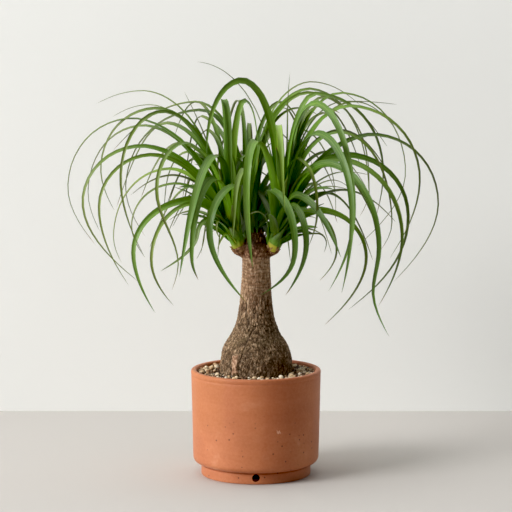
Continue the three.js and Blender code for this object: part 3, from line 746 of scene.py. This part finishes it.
leftLeaves = [
    dict(crest=(-151, 441), elbow=(-231, 355), tip=(-196, 284), depth=30, width=5),
    dict(crest=(-141, 407), elbow=(-213, 335), tip=(-143, 238), depth=-30, width=7),
    dict(crest=(-130, 396), elbow=(-193, 330), tip=(-155, 233), depth=-70, width=6, roll=55, tone=0.8),
    dict(crest=(-137, 432), elbow=(-206, 350), tip=(-190, 300), depth=75, width=5),
    dict(crest=(-122, 453), elbow=(-190, 378), tip=(-172, 325), depth=22, width=6, roll=55),
    dict(crest=(-116, 449), elbow=(-166, 365), tip=(-136, 269), depth=-112, width=6, roll=62, tone=0.8),
    dict(crest=(-136, 474), tip=(-194, 458), depth=50, width=3),
    dict(crest=(-127, 457), tip=(-175, 442), depth=90, width=3),
    dict(crest=(-106, 379), elbow=(-175, 295), tip=(-165, 262), depth=40, width=6),
    dict(crest=(-103, 371), tip=(-153, 346), depth=-45, width=5),
    dict(crest=(-99, 361), elbow=(-153, 308), tip=(-136, 269), depth=-12, width=6),
    dict(crest=(-88, 411), elbow=(-122, 350), waist=(-95, 262), tip=(-104, 228), depth=-122, width=7),
    dict(crest=(-82, 400), elbow=(-113, 335), tip=(-112, 312), depth=60, width=6),
    dict(crest=(-74, 391), tip=(-110, 325), depth=76, width=6),
    dict(crest=(-79, 341), elbow=(-151, 275), tip=(-124, 200), depth=-50, width=9, roll=55),
    dict(crest=(-80, 336), elbow=(-129, 265), tip=(-101, 209), depth=-106, width=7, roll=50),
    dict(crest=(-75, 327), tip=(-107, 315), depth=45, width=6),
    dict(crest=(-57, 318), elbow=(-72, 296), tip=(-118, 252), depth=-52, width=8),
    dict(crest=(-50, 396), tip=(-94, 245), depth=-140, width=12, tone=0.4),
    dict(crest=(-52, 368), elbow=(-79, 270), tip=(-70, 241), depth=-115, width=11, tone=0.45),
    dict(crest=(-23, 360), elbow=(-58, 300), tip=(-10, 212), depth=-104, width=11, tone=0.4),
    dict(crest=(-8, 388), tip=(-4, 378), depth=-35, width=8),
    dict(crest=(-40, 465), elbow=(-32, 405), tip=(-28, 340), depth=-30, width=9),
    dict(crest=(-34, 398), tip=(-14, 382), depth=12, width=9),
    dict(tip=(-87, 473), depth=20, width=3),
    dict(crest=(-44, 318), elbow=(-48, 306), tip=(-43, 291), depth=-30, width=6),
    dict(crest=(-36, 299), tip=(-47, 279), depth=-22, width=5),
    dict(crest=(-55, 308), elbow=(-64, 296), tip=(-73, 267), depth=20, width=3),
    dict(crest=(-14, 463), elbow=(2, 410), tip=(3, 380), depth=30, width=9, roll=60, tone=0.7),
    dict(crest=(-14, 380), elbow=(-26, 330), tip=(-29, 290), depth=-125, width=8, roll=40, tone=0.7,
         blunt=4),
]
rightLeaves = [
    dict(crest=(103, 472), elbow=(184, 372), tip=(125, 283), depth=40, width=5),
    dict(crest=(118, 461), tip=(172, 425), depth=85, width=5),
    dict(crest=(115, 456), elbow=(201, 365), tip=(164, 268), depth=-30, width=7),
    dict(crest=(143, 421), elbow=(224, 335), tip=(169, 239), depth=10, width=7),
    dict(crest=(105, 461), tip=(172, 457), depth=62, width=3),
    dict(crest=(72, 460), elbow=(120, 322), tip=(89, 227), depth=-120, width=9, roll=66, tone=0.35),
    dict(crest=(76, 423), elbow=(118, 325), tip=(104, 224), depth=-150, width=10, roll=70, tone=0.25),
    dict(crest=(103, 424), elbow=(167, 312), tip=(152, 277), depth=-45, width=5),
    dict(crest=(112, 396), elbow=(187, 320), tip=(113, 204), depth=-8, width=8, curl=2.2),
    dict(crest=(100, 391), elbow=(180, 295), tip=(150, 208), depth=-62, width=8, roll=52),
    dict(crest=(105, 375), tip=(138, 371), depth=70, width=4),
    dict(crest=(92, 365), tip=(118, 350), depth=105, width=4),
    dict(crest=(85, 357), tip=(118, 351), depth=86, width=4),
    dict(crest=(105, 353), tip=(171, 313), depth=28, width=7),
    dict(crest=(88, 386), elbow=(151, 283), waist=(143, 225), tip=(165, 170), depth=-100, width=9,
         roll=60, tone=0.3),
    dict(crest=(80, 328), elbow=(136, 268), tip=(84, 185), depth=-26, width=7),
    dict(crest=(50, 347), tip=(104, 269), depth=-90, width=10, roll=60, tone=0.2),
    dict(crest=(65, 328), elbow=(99, 278), tip=(77, 240), depth=-48, width=6),
    dict(crest=(43, 336), elbow=(62, 285), tip=(36, 222), depth=-96, width=10, tone=0.2),
    dict(crest=(28, 433), elbow=(31, 375), tip=(35, 322), depth=-112, width=9, tone=0.75),
    dict(crest=(17, 354), elbow=(48, 285), tip=(5, 222), depth=-110, width=11, curl=2.8, tone=0.3),
    dict(crest=(50, 428), elbow=(98, 335), tip=(98, 318), depth=45, width=5),
    dict(crest=(50, 392), elbow=(76, 325), tip=(64, 282), depth=-58, width=7),
    dict(tip=(41, 497), depth=10, width=3),
    dict(crest=(53, 306), tip=(83, 297), depth=25, width=5),
    dict(crest=(76, 299), elbow=(86, 287), tip=(83, 275), depth=-30, width=4),
    dict(crest=(62, 320), tip=(76, 317), depth=40, width=4),
    dict(crest=(72, 471), elbow=(156, 375), tip=(147, 318), depth=20, width=8),
    dict(crest=(84, 467), tip=(160, 405), depth=52, width=7),
    dict(crest=(66, 457), tip=(104, 446), depth=-35, width=10),
    dict(crest=(-18, 487), elbow=(-60, 405), tip=(-61, 390), depth=-36, width=10, roll=82),
    dict(crest=(-72, 509), depth=-30, width=3),
    dict(crest=(-1, 414), elbow=(-13, 350), tip=(-3, 256), depth=-135, width=10, blunt=4, tone=0.7),
    dict(crest=(2, 326), tip=(-12, 319), depth=-14, width=7),
]
backLeaves = [
    dict(crest=(-73, 461), tip=(-175, 400), depth=68, width=7),
    dict(crest=(-67, 451), elbow=(-160, 355), tip=(-136, 295), depth=84, width=7),
    dict(crest=(63, 472), elbow=(138, 375), tip=(140, 322), depth=74, width=7),
    dict(crest=(65, 477), elbow=(139, 350), tip=(126, 318), depth=90, width=7),
    dict(crest=(66, 485), tip=(128, 455), depth=62, width=4),
    # painted shade: the two broad leaves in the middle, behind the shoots, are given the darkest tone
    dict(crest=(14, 392), elbow=(30, 340), tip=(30, 300), depth=60, width=10, tone=0.1),
    dict(crest=(4, 352), elbow=(14, 320), tip=(15, 300), depth=55, width=10, tone=0.1),
    dict(crest=(50, 453), tip=(76, 444), depth=54, width=8),
    dict(crest=(2, 376), elbow=(24, 340), tip=(26, 318), depth=52, width=8),
]
hiddenPlan = {
    "left": {"count": 8, "first": 118, "last": 178, "seed": 34},
    "right": {"count": 8, "first": 2, "last": 60, "seed": 40},
    "back": {"count": 17, "first": 36, "last": 146, "seed": 55},
}
# their tone of 0.34 is painted shade, as these leaves stand inside the heads
hiddenLeaf = {
    "crestLow": 335, "crestHigh": 462, "crestSpread": 16, "crestNear": 44, "crestFar": 96, "outLeast": 34,
    "outMost": 72, "dropLeast": 40, "dropMost": 115, "width": 7, "blunt": 2.2, "tone": 0.34,
}


def seededDraw(seed):  # the same numbers, in the same order, as the solids were drawn with
    state = [seed]

    def draw():
        state[0] = state[0] * 16807 % 2147483647
        return state[0] / 2147483647
    return draw


leafValues = ["along", "across", "tone", "under", "dry", "strap"]  # kept for each point of a blade


def leafFinish():
    leaf = Finish("strap leaf green")
    along, across, tone, under, dry, strap = [leaf.attribute(name) for name in leafValues]
    lanes = leaf.node("CombineXYZ", None, {"X": across * 7 + tone * 41, "Y": along * 2.2, "Z": tone * 17})
    veins = leaf.cloud(lanes, 1.9, 3, 0.6)
    drift = leaf.cloud(leaf.place(), 26, 3)
    # the tone picks the green; the low tones are also used as painted shade for leaves inside the crown
    shade = leaf.limited(tone + (drift - 0.5) * 0.5)
    body = leaf.ramp(shade, [
        (0.0, 40, 74, 11), (0.35, 64, 108, 16), (0.65, 101, 143, 31), (1.0, 146, 180, 60),
    ])
    body = leaf.tint(body, leaf.step(0.45, 0.66, veins) * 0.45, 156, 180, 78)
    body = leaf.tint(body, (1 - leaf.step(0.32, 0.50, veins)) * 0.5, 36, 64, 12)
    rib = 1 - leaf.step(0.03, 0.17, leaf.maths("ABSOLUTE", across))
    body = leaf.tint(body, rib * 0.22, 150, 176, 84)
    body = leaf.tint(body, under * 0.3, 92, 124, 42)
    outer = leaf.step(0.3, 0.75, along)
    body = leaf.tint(body, outer * (1 - strap) * 0.6, 112, 114, 52)
    body = leaf.tint(body, outer * strap * 0.4, 98, 132, 50)
    # yellow-green near the root: partly the real colour of young leaf, partly painted light shining
    # through the blade
    young = leaf.step(0.0, 0.06, along) * (1 - leaf.step(0.12, 0.42, along))
    body = leaf.tint(body, young * 0.5, 112, 162, 26)
    pale = 1 - leaf.step(0.0, 0.08, along)
    body = leaf.tint(body, pale * 0.85, 196, 186, 60)
    body = leaf.mix(dry, body, paint(150, 118, 62))
    normal = leaf.bump(veins, 0.0005, 0.5)
    sheen = leaf.limited(leaf.step(0.3, 0.6, along) * (1 - dry) * (1 - under) * 0.25)
    return leaf.surface(Base_Color=body, Roughness=0.46 + 0.12 * (drift - 0.5) + 0.3 * dry,
                        Normal=normal, Specular_IOR_Level=0.35, Coat_Weight=sheen, Coat_Roughness=0.38,
                        Coat_IOR=1.6)


def placed(spot, depth):
    scale = 1 + depth / eyePlan["distance"]
    return Vector((spot[0] * scale, depth, lerp(eyePlan["height"], spot[1], scale)))


def rootOf(head, crestHeight):
    plan = bladePlan
    share = clamp((crestHeight - plan["lowCrest"]) / (plan["highCrest"] - plan["lowCrest"]))
    foot, top = Vector(head["foot"]), Vector(head["top"])
    return foot.lerp(top, (lerp(plan["lowRoot"], plan["highRoot"], share) - foot.z) / (top.z - foot.z))


def leafPoints(head, leaf):
    reach = leaf.get("elbow") or leaf.get("tip") or leaf["crest"]
    root = rootOf(head, (leaf.get("crest") or leaf["tip"])[1])
    width = reach[0] - root.x
    sideways = abs(width) > bladePlan["sidewaysReach"]

    def depthAt(across, frontShare, least):
        share = clamp((across - root.x) / width, least, 1.1) if sideways else frontShare
        return lerp(root.y, leaf["depth"], share)

    points = {"root": root, "reach": placed(reach, leaf["depth"])}
    if "crest" in leaf:
        points["crest"] = placed(leaf["crest"], depthAt(leaf["crest"][0], 0.6, 0.25))
    if "elbow" in leaf:
        points["elbow"] = points["reach"]
    for name in ("waist", "tip"):
        if name in leaf:
            points[name] = placed(leaf[name], depthAt(leaf[name][0], 1, 0.4))
    return points


def hiddenPoints(head, rule, index, draw):
    plan = hiddenLeaf
    age = (index + 0.5) / rule["count"]
    bearing = math.radians(lerp(rule["first"], rule["last"], (index * goldenShare) % 1))
    outward = outwardAt(bearing)
    crestHeight = lerp(plan["crestHigh"], plan["crestLow"], age) + plan["crestSpread"] * (draw() - 0.5)
    root = rootOf(head, crestHeight)
    crest = root + outward * lerp(plan["crestNear"], plan["crestFar"], draw())
    crest.z = crestHeight
    tip = crest + outward * lerp(plan["outLeast"], plan["outMost"], draw())
    tip.z = crestHeight - lerp(plan["dropLeast"], plan["dropMost"], draw())
    return {"root": root, "crest": crest, "tip": tip, "reach": tip}


def stretch(start, end, steps, across, down):
    points = []
    for step in range(1, steps + 1):
        point = start.lerp(end, across(step / steps))
        point.z = lerp(start.z, end.z, down(step / steps))
        points.append(point)
    return points


def middleLine(points, curl):
    plan, quarter = bladePlan, math.pi / 2
    even = lambda t: t
    root, crest, elbow = points["root"], points.get("crest"), points.get("elbow")
    waist, tip = points.get("waist"), points.get("tip")
    if not crest:
        return [root] + stretch(root, tip, plan["upright"], lambda t: t ** 1.7, even)
    run = math.hypot(crest.x - root.x, crest.y - root.y)
    steepness = clamp(0.55 + 0.9 * (crest.z - root.z) / max(run, 1), 1, 2.8)
    climbed = lambda t: min(1, math.sin(quarter * (1 - (1 - t) ** 1.8)))
    outRise = lambda t: 1 - math.sqrt(1 - climbed(t) ** steepness)
    line = [root] + stretch(root, crest, plan["rise"], outRise, climbed)
    if not tip:
        return line
    if not elbow:
        return line + stretch(crest, tip, plan["fall"], even, lambda t: t * t)
    line += stretch(crest, elbow, plan["fall"], lambda t: math.sin(t * quarter),
                    lambda t: 1 - math.cos(t * quarter))
    if not waist:
        return line + stretch(elbow, tip, plan["tail"], lambda t: t ** curl, even)
    line += stretch(elbow, waist, plan["tail"], lambda t: t * t * (3 - 2 * t), even)
    return line + stretch(waist, tip, plan["tail"] - 1, lambda t: t ** 1.6, even)


def evenLine(line):  # the same line with its points spread evenly and its joins softened
    points = np.array([tuple(point) for point in line])
    for _ in range(bladePlan["softening"]):
        points[1:-1] = 0.25 * points[:-2] + 0.5 * points[1:-1] + 0.25 * points[2:]
    lengths = np.concatenate([[0], np.cumsum(np.linalg.norm(np.diff(points, axis=0), axis=1))])
    marks = np.linspace(0, lengths[-1], bladePlan["points"])
    spread = [np.interp(marks, lengths, points[:, axis]) for axis in range(3)]
    return [Vector(point) for point in zip(*spread)]


def halfWidth(width, along, blunt):  # broad at the root also where the leaf is slender further out
    plan = bladePlan
    broad = max(width, min(plan["broadRoot"], width + 5))
    outer = width * lerp(plan["slim"], plan["full"], smoothStep(7, 10, width))
    full = lerp(broad, outer, smoothStep(0.08, plan["slenderFrom"], along))
    widened = lerp(plan["rootWidth"], 1, min(1, along / plan["widensUntil"]))
    return full / 2 * widened * max(0, 1 - along ** (blunt or plan["taper"])) ** 0.9


class LeafBunch:  # gathers the blades of one head into one mesh
    def __init__(self):
        self.vertices, self.faces = [], []
        self.values = {name: [] for name in leafValues}

    def note(self, point, *values):
        self.vertices.append(point)
        for numbers, value in zip(self.values.values(), values):
            numbers.append(value)

    def blade(self, line, outward, leaf, rollDegrees, tone, dryness, sway):
        plan = bladePlan
        count, tops, unders = plan["points"], plan["tops"], plan["unders"]
        width, blunt, age = leaf["width"], leaf.get("blunt"), leaf.get("age", 0)
        line = evenLine(line)
        side = Vector((-outward.y, outward.x, 0)).normalized()
        strap = smoothStep(7, 9.5, width)
        first, ringSize = len(self.vertices), len(tops) + len(unders)
        for index in range(count - 1):
            along = index / (count - 1)
            tangent = (line[min(index + 1, count - 1)] - line[max(index - 1, 0)]).normalized()
            flat = (side - tangent * side.dot(tangent)).normalized()
            face = tangent.cross(flat)
            turned = rollDegrees * (1 + plan["rootTurn"] * (1 - smoothStep(0.1, 0.6, along)))
            twist = sway["turn"] * math.sin(sway["wave"] * along + sway["start"])
            roll = math.radians(turned + twist * along)
            acrossWay = flat * math.cos(roll) - face * math.sin(roll)
            up = tangent.cross(acrossWay)
            half = halfWidth(width, along, blunt)
            drift = sway["reach"] * math.sin(sway["wave"] * 1.3 * along + sway["start"]) * along
            centre = line[index] + side * drift
            dip = plan["channel"] * half + 0.2
            dry = dryness * smoothStep(0.93, 0.99, along)
            shown = lerp(age, 1, along)
            for s in tops:
                spot = centre + acrossWay * half * s - up * dip * (1 - s * s)
                self.note(spot, shown, s, tone, 0, dry, strap)
            for s in unders:
                thick = lerp(plan["edge"], plan["thickness"], 1 - abs(s)) * min(1, 0.35 + half / 3)
                spot = centre + acrossWay * half * s - up * (dip * (1 - s * s) + thick)
                self.note(spot, shown, s, tone, 1, dry, strap)
        last = line[-1] + side * sway["reach"] * math.sin(sway["wave"] * 1.3 + sway["start"])
        self.note(last, 1, 0, tone, 0, dryness, strap)
        apex = len(self.vertices) - 1
        for index in range(count - 2):
            for j in range(ringSize):
                here, after = first + index * ringSize + j, first + index * ringSize + (j + 1) % ringSize
                self.faces.append((after, here, here + ringSize, after + ringSize))
        end = first + (count - 2) * ringSize
        for j in range(ringSize):
            self.faces.append((end + (j + 1) % ringSize, end + j, apex))
        self.faces.append(tuple(first + j for j in range(ringSize)))

    def leaf(self, points, leaf, roll, draw):
        outward = points["reach"] - points["root"]
        outward.z = 0
        outward.normalize()
        rooted = dict(points, root=points["root"] + outward * bladePlan["rootOffset"])
        line = points.get("line") or middleLine(rooted, leaf.get("curl", bladePlan["curl"]))
        sway = {"turn": bladePlan["twist"] * lerp(-1, 1, draw.random()),
                "wave": lerp(3, 8, draw.random()), "start": lerp(-0.4, 0.4, draw.random()),
                "reach": bladePlan["sway"] * lerp(-1, 1, draw.random())}
        tone = clamp(draw.gauss(leaf.get("tone", 0.5), 0.08 if "tone" in leaf else 0.2))
        dryness = 1 if draw.random() < bladePlan["dryShare"] else 0
        self.blade(line, outward, leaf, -roll * outward.x, tone, dryness, sway)

    def shoot(self, head, slim):
        foot, axis, turn = shootFrame(head)
        rings = [(radius * slim, share * axis.length) for share, radius in shootOutline]
        outline = splitLong([(0, 0), *rings, (0, axis.length)], bladePlan["shootStep"])
        vertices, faces = turnOutline(outline, bladePlan["shootSides"])
        first = len(self.vertices)
        for vertex in vertices:
            share = vertex[2] / axis.length
            # painted shade: the shoot gets the darkest leaf tone, as it stands in shade under its leaves
            self.note(turn @ Vector(vertex) + foot, 0.2 + 0.2 * share, 0, 0, 0, 0, 0)
        self.faces.extend([tuple(first + i for i in face) for face in faces])

    def sheath(self, head, plan, bearing, start, draw):  # a leaf base round the shoot
        foot, axis, turn = shootFrame(head)
        end = start + lerp(0.4, 0.85, draw.random())
        width = plan["width"] * lerp(0.6, 1.3, draw.random())
        lean = lerp(1, plan["lean"], draw.random() ** 1.5)
        tone = lerp(0, 0.45, draw.random())
        first, rows, columns = len(self.vertices), sheathPlan["rows"], sheathPlan["columns"]
        for side in (1, 0):
            for row in range(rows + 1):
                t = row / rows
                share = lerp(start, end, t)
                radius = plan["slim"] * float(np.interp(share, shootShares, shootRadii))
                radius += 0.9 + 0.9 * side + lean * t ** 2.2
                half = 0.5 * width * (1 - t ** 1.3) * lerp(0.85, 1, min(1, t * 4)) + 0.2
                along = clamp((share - 0.14) * plan["fade"], 0, 0.5)
                for column in range(columns + 1):
                    s = column / columns * 2 - 1
                    curl = 0.5 * (1 - s * s) * (1 - t)
                    spot = outwardAt(bearing + s * half / max(radius, 4))
                    spot *= radius + curl - 0.35 * abs(s) ** 3 * side
                    spot.z = share * axis.length
                    self.note(turn @ spot + foot, along, s, tone, 1 - side, 0, 0)
        self.faces.extend(sheetFaces(first, rows, columns, False))

    def finish(self, name, finish, replaced):
        piece = makePiece(name, self.vertices, self.faces, finish, replaced, 50)
        for value, numbers in self.values.items():
            keepValues(piece, value, numbers)


heartPlan = {  # young leaves that stand close round the shoot and spread from it like a fan
    "left": {"count": 18, "towards": 165, "spread": 120, "leanLeast": 4, "leanMost": 60},
    "right": {"count": 18, "towards": 15, "spread": 120, "leanLeast": 4, "leanMost": 60},
    "back": {"count": 20, "towards": 95, "spread": 80, "leanLeast": 4, "leanMost": 62},
    "shortest": 58, "longest": 128, "droop": 0.30, "narrow": 7, "wide": 12, "steps": 12,
}
sheathPlan = {  # broad leaf bases that clasp the shoot
    "left": {"count": 34, "width": 5.5, "lean": 12, "slim": 0.68, "fade": 0.38},
    "right": {"count": 24, "width": 9, "lean": 9, "slim": 0.85, "fade": 1.2},
    "back": {"count": 24, "width": 9, "lean": 10, "slim": 0.9, "fade": 1},
    "low": 0.03, "high": 0.34, "rows": 12, "columns": 8,
}
frontBases = [  # two short broad leaf bases in front of the right shoot
    {"line": [(18, -9, 279), (18.5, -11.5, 284), (21, -13.5, 291), (27, -14.5, 299), (36.5, -14, 307)],
     "leaf": {"width": 13.5, "blunt": 1.35, "age": -0.3}, "tone": 0.1, "roll": 16},
    {"line": [(23, -6, 286), (25, -9, 298), (29, -10, 315), (33, -9, 335), (35, -6, 356)],
     "leaf": {"width": 17, "blunt": 1.8, "age": 0.16}, "tone": 0.0, "roll": -12},
]


def heartLeaves(head, heart, looks):
    plan = heartPlan
    for index in range(heart["count"]):
        age = (index + 0.5) / heart["count"]
        bearing = math.radians(heart["towards"] + heart["spread"] * (2 * (index * goldenShare % 1) - 1))
        outward = outwardAt(bearing)
        degrees = lerp(heart["leanLeast"], heart["leanMost"], age ** 0.8) + 6 * looks.uniform(-1, 1)
        length = lerp(plan["longest"], plan["shortest"], age) * looks.uniform(0.8, 1.15)
        root = rootOf(head, lerp(bladePlan["highCrest"], bladePlan["lowCrest"], age))
        lean = math.radians(degrees)
        aim = outward * math.sin(lean) + Vector((0, 0, math.cos(lean)))
        droop = plan["droop"] * length * looks.uniform(0.5, 1.4)
        line = []
        for step in range(plan["steps"] + 1):
            t = step / plan["steps"]
            spot = root + aim * length * t + outward * 0.5 * droop * t * t
            line.append(spot - Vector((0, 0, droop * t ** 3)))
        width = lerp(plan["narrow"], plan["wide"], looks.random())
        # painted shade: heart leaves leaning in towards the middle of the crown get a darker tone and less
        # of the pale root colour
        inner = outward.x * head["top"][0] < 0
        leaf = {"width": width, "tone": 0.05 if inner else 0.3, "age": 0.2 if inner else 0.04}
        yield leaf, {"root": root, "line": line, "reach": line[-1]}


def makeHead(side, listed, seed):
    head, rule, sheaths = headPlan[side], hiddenPlan[side], sheathPlan[side]
    draw = seededDraw(rule["seed"])
    looks = random.Random(seed)
    bunch = LeafBunch()
    bunch.shoot(head, sheaths["slim"])
    for leaf in listed:
        roll = leaf["roll"] if "roll" in leaf else bladePlan["roll"] * lerp(0.5, 1.5, draw())
        bunch.leaf(leafPoints(head, leaf), leaf, roll, looks)
    for index in range(rule["count"]):
        points = hiddenPoints(head, rule, index, draw)
        bunch.leaf(points, hiddenLeaf, bladePlan["roll"] * lerp(0.5, 1.5, draw()), looks)
    for leaf, points in heartLeaves(head, heartPlan[side], looks):
        bunch.leaf(points, leaf, bladePlan["roll"] * lerp(0.2, 1.4, looks.random()), looks)
    for index in range(sheaths["count"]):
        bearing = index * goldenTurn + 0.3 * looks.random() + seed
        start = lerp(sheathPlan["low"], sheathPlan["high"], index / sheaths["count"])
        bunch.sheath(head, sheaths, bearing, start, looks)
    if side == "right":
        still = {"turn": 0, "wave": 1, "start": 0, "reach": 0}
        for base in frontBases:
            line = [Vector(spot) for spot in base["line"]]
            bunch.blade(line, Vector((0, -1, 0)), base["leaf"], base["roll"], base["tone"], 0, still)
    bunch.finish(side + "_leaves", leafGreen, "leaf_head_" + side)


leafGreen = leafFinish()
makeHead("left", leftLeaves, 3)
makeHead("right", rightLeaves, 4)
makeHead("back", backLeaves, 5)


# Dry remains of old leaves, on the crown between the shoots and on the cups that hold them

crownPlan = {
    "seed": 12, "rows": 6, "columns": 4, "thickness": 0.45,
    "stubFlakes": 90, "stubRing": (14.5, 6.0), "stubHeight": (284, 299), "stubSpread": (-0.1, 0.35),
    "stubSizes": [(1.2, 4.5), (5, 13), (-1, 2.5), (0.1, 0.6)],  # width, height, curl and tone
    "cupFlakes": 20, "cupShare": (0.06, 0.15), "cupSpread": (-0.05, 0.3),
    "cupSizes": [(4, 9), (5, 9), (0, 1.4), (0.55, 1.0)],
}


def dryFinish():
    husk = Finish("dry leaf base")
    along = husk.attribute("along")
    tone = husk.attribute("tone")
    streaks = husk.cloud(husk.place((1, 1, 0.25)), 620, 4, 0.65)
    body = husk.ramp(husk.limited(tone + (streaks - 0.5) * 0.5), [
        (0.0, 34, 22, 14), (0.3, 74, 50, 32), (0.55, 128, 92, 60), (0.8, 182, 140, 94),
        (1.0, 214, 182, 126),
    ])
    body = husk.tint(body, along * 0.35, 58, 38, 24)
    return husk.surface(Base_Color=body, Roughness=0.85, Specular_IOR_Level=0.25,
                        Normal=husk.bump(streaks, 0.0008, 0.6))


def makeFlakes(plan):
    draw = random.Random(plan["seed"])
    vertices, faces, values = [], [], {"along": [], "tone": []}
    rows, columns = plan["rows"], plan["columns"]

    def flake(spot, outward, rise, sizes):
        width, height, curl, tone = [lerp(*span, draw.random()) for span in sizes]
        bend = draw.random() - 0.5
        side = outward.cross(rise).normalized()
        first = len(vertices)
        for back in (0, 1):
            for row in range(rows + 1):
                t = row / rows
                half = 0.5 * width * (1 - t ** 1.5) ** 0.7 + 0.15
                for column in range(columns + 1):
                    s = column / columns * 2 - 1
                    lean = outward * (curl * t * t - 0.12 * width * s * s - plan["thickness"] * back)
                    across = side * (s * half + bend * width * t * t)
                    vertices.append(spot + rise * height * t + lean + across)
                    values["along"].append(t)
                    values["tone"].append(tone)
        faces.extend(sheetFaces(first, rows, columns, True))

    for index in range(plan["stubFlakes"]):
        outward = outwardAt(index * goldenTurn + draw.random() * 0.5)
        level = draw.random()
        spot = outward * lerp(*plan["stubRing"], level)
        spot.z = lerp(*plan["stubHeight"], level) - 3
        rise = (Vector((0, 0, 1)) + outward * lerp(*plan["stubSpread"], draw.random())).normalized()
        flake(spot, outward, rise, plan["stubSizes"])
    for head in headPlan.values():
        foot, axis, turn = shootFrame(head)
        for index in range(plan["cupFlakes"]):
            outward = turn @ outwardAt(index * goldenTurn + draw.random() * 0.6)
            share = lerp(*plan["cupShare"], draw.random())
            radius = float(np.interp(share, cupShares, cupRadii)) - 0.4
            rise = (axis.normalized() + outward * lerp(*plan["cupSpread"], draw.random())).normalized()
            flake(foot + axis * share + outward * radius, outward, rise, plan["cupSizes"])
    flakes = makePiece("old_leaf_bases", vertices, faces, dryFinish(), "trunk", 60)
    for name, numbers in values.items():
        keepValues(flakes, name, numbers)


makeFlakes(crownPlan)


# Floor, wall and light

stagePlan = {
    "floor": (199, 195, 190), "wall": (246, 247, 244), "wallDistance": 0.40, "wallHeight": 6,
    "floorDepth": 4, "reach": 14, "sky": 0.03, "blackLevel": 0.010,
}
lampPlan = {  # the power and the size of each, where it stands and what it is aimed at
    "key light": (850, 4.16, (-8, -4.69, 5.08), (0, 0, 0.22)),
    "side light": (276, 3.52, (-8.8, -1.5, 1.76), (0, 0, 0.2)),
    "back light": (4, 2.0, (0.2, 0.1, 2.4), (0, 0, 0.2)),
    "wall light": (17, 1.4, (-0.4, -0.2, 2.3), (-0.3, 0.4, 0.5)),
    "right wall light": (2.5, 1.4, (1.3, -0.5, 1.8), (0.8, 0.4, 0.4)),
}


def stageFinish(name, colour):  # the back of a sheet lets the view through
    plain = Finish(name)
    drift = plain.cloud(plain.place(), 1.4, 2)
    body = plain.mix(drift, paint(*colour), paint(*(min(255, level + 4) for level in colour)))
    plain.surface(Base_Color=body, Roughness=0.85, Specular_IOR_Level=0.2)
    front = plain.tree.nodes["Principled BSDF"].outputs["BSDF"]
    clear = plain.node("BsdfTransparent")
    behind = plain.node("NewGeometry", output="Backfacing")
    both = plain.node("MixShader", None, {0: behind, 1: Signal(plain, front), 2: clear})
    plain.tree.links.new(both.socket, plain.tree.nodes["Material Output"].inputs["Surface"])
    return plain.material


def makeStage(name, corners, finish):
    mesh = bpy.data.meshes.new(name)
    mesh.from_pydata(corners, [], [(0, 1, 2, 3)])
    mesh.materials.append(finish)
    sheet = bpy.data.objects.new(name, mesh)
    bpy.context.scene.collection.objects.link(sheet)


def makeLight(name, power, size, spot, aim):
    light = bpy.data.lights.new(name, "AREA")
    light.energy, light.size = power, size
    lamp = bpy.data.objects.new(name, light)
    lamp.location = spot
    lamp.rotation_euler = (Vector(aim) - Vector(spot)).to_track_quat("-Z", "Y").to_euler()
    bpy.context.scene.collection.objects.link(lamp)


reach, floorDepth = stagePlan["reach"], stagePlan["floorDepth"]
wallAt, wallTop = stagePlan["wallDistance"], stagePlan["wallHeight"]
floor = [(-reach, -reach, 0), (reach, -reach, 0), (reach, floorDepth, 0), (-reach, floorDepth, 0)]
wall = [(-reach, wallAt, 0), (reach, wallAt, 0), (reach, wallAt, wallTop), (-reach, wallAt, wallTop)]
makeStage("floor", floor, stageFinish("pale floor", stagePlan["floor"]))
makeStage("wall", wall, stageFinish("pale wall", stagePlan["wall"]))
for name, lamp in lampPlan.items():
    makeLight(name, *lamp)
world = bpy.data.worlds.new("studio")
world.use_nodes = True
world.node_tree.nodes["Background"].inputs["Color"].default_value = (1, 0.99, 0.97, 1)
world.node_tree.nodes["Background"].inputs["Strength"].default_value = stagePlan["sky"]
bpy.context.scene.world = world
film = bpy.context.scene.view_settings
film.view_transform = "Standard"
film.use_curve_mapping = True
film.curve_mapping.black_level = (stagePlan["blackLevel"],) * 3
film.curve_mapping.update()
print("floor, wall and", len(lampPlan), "lamps placed")
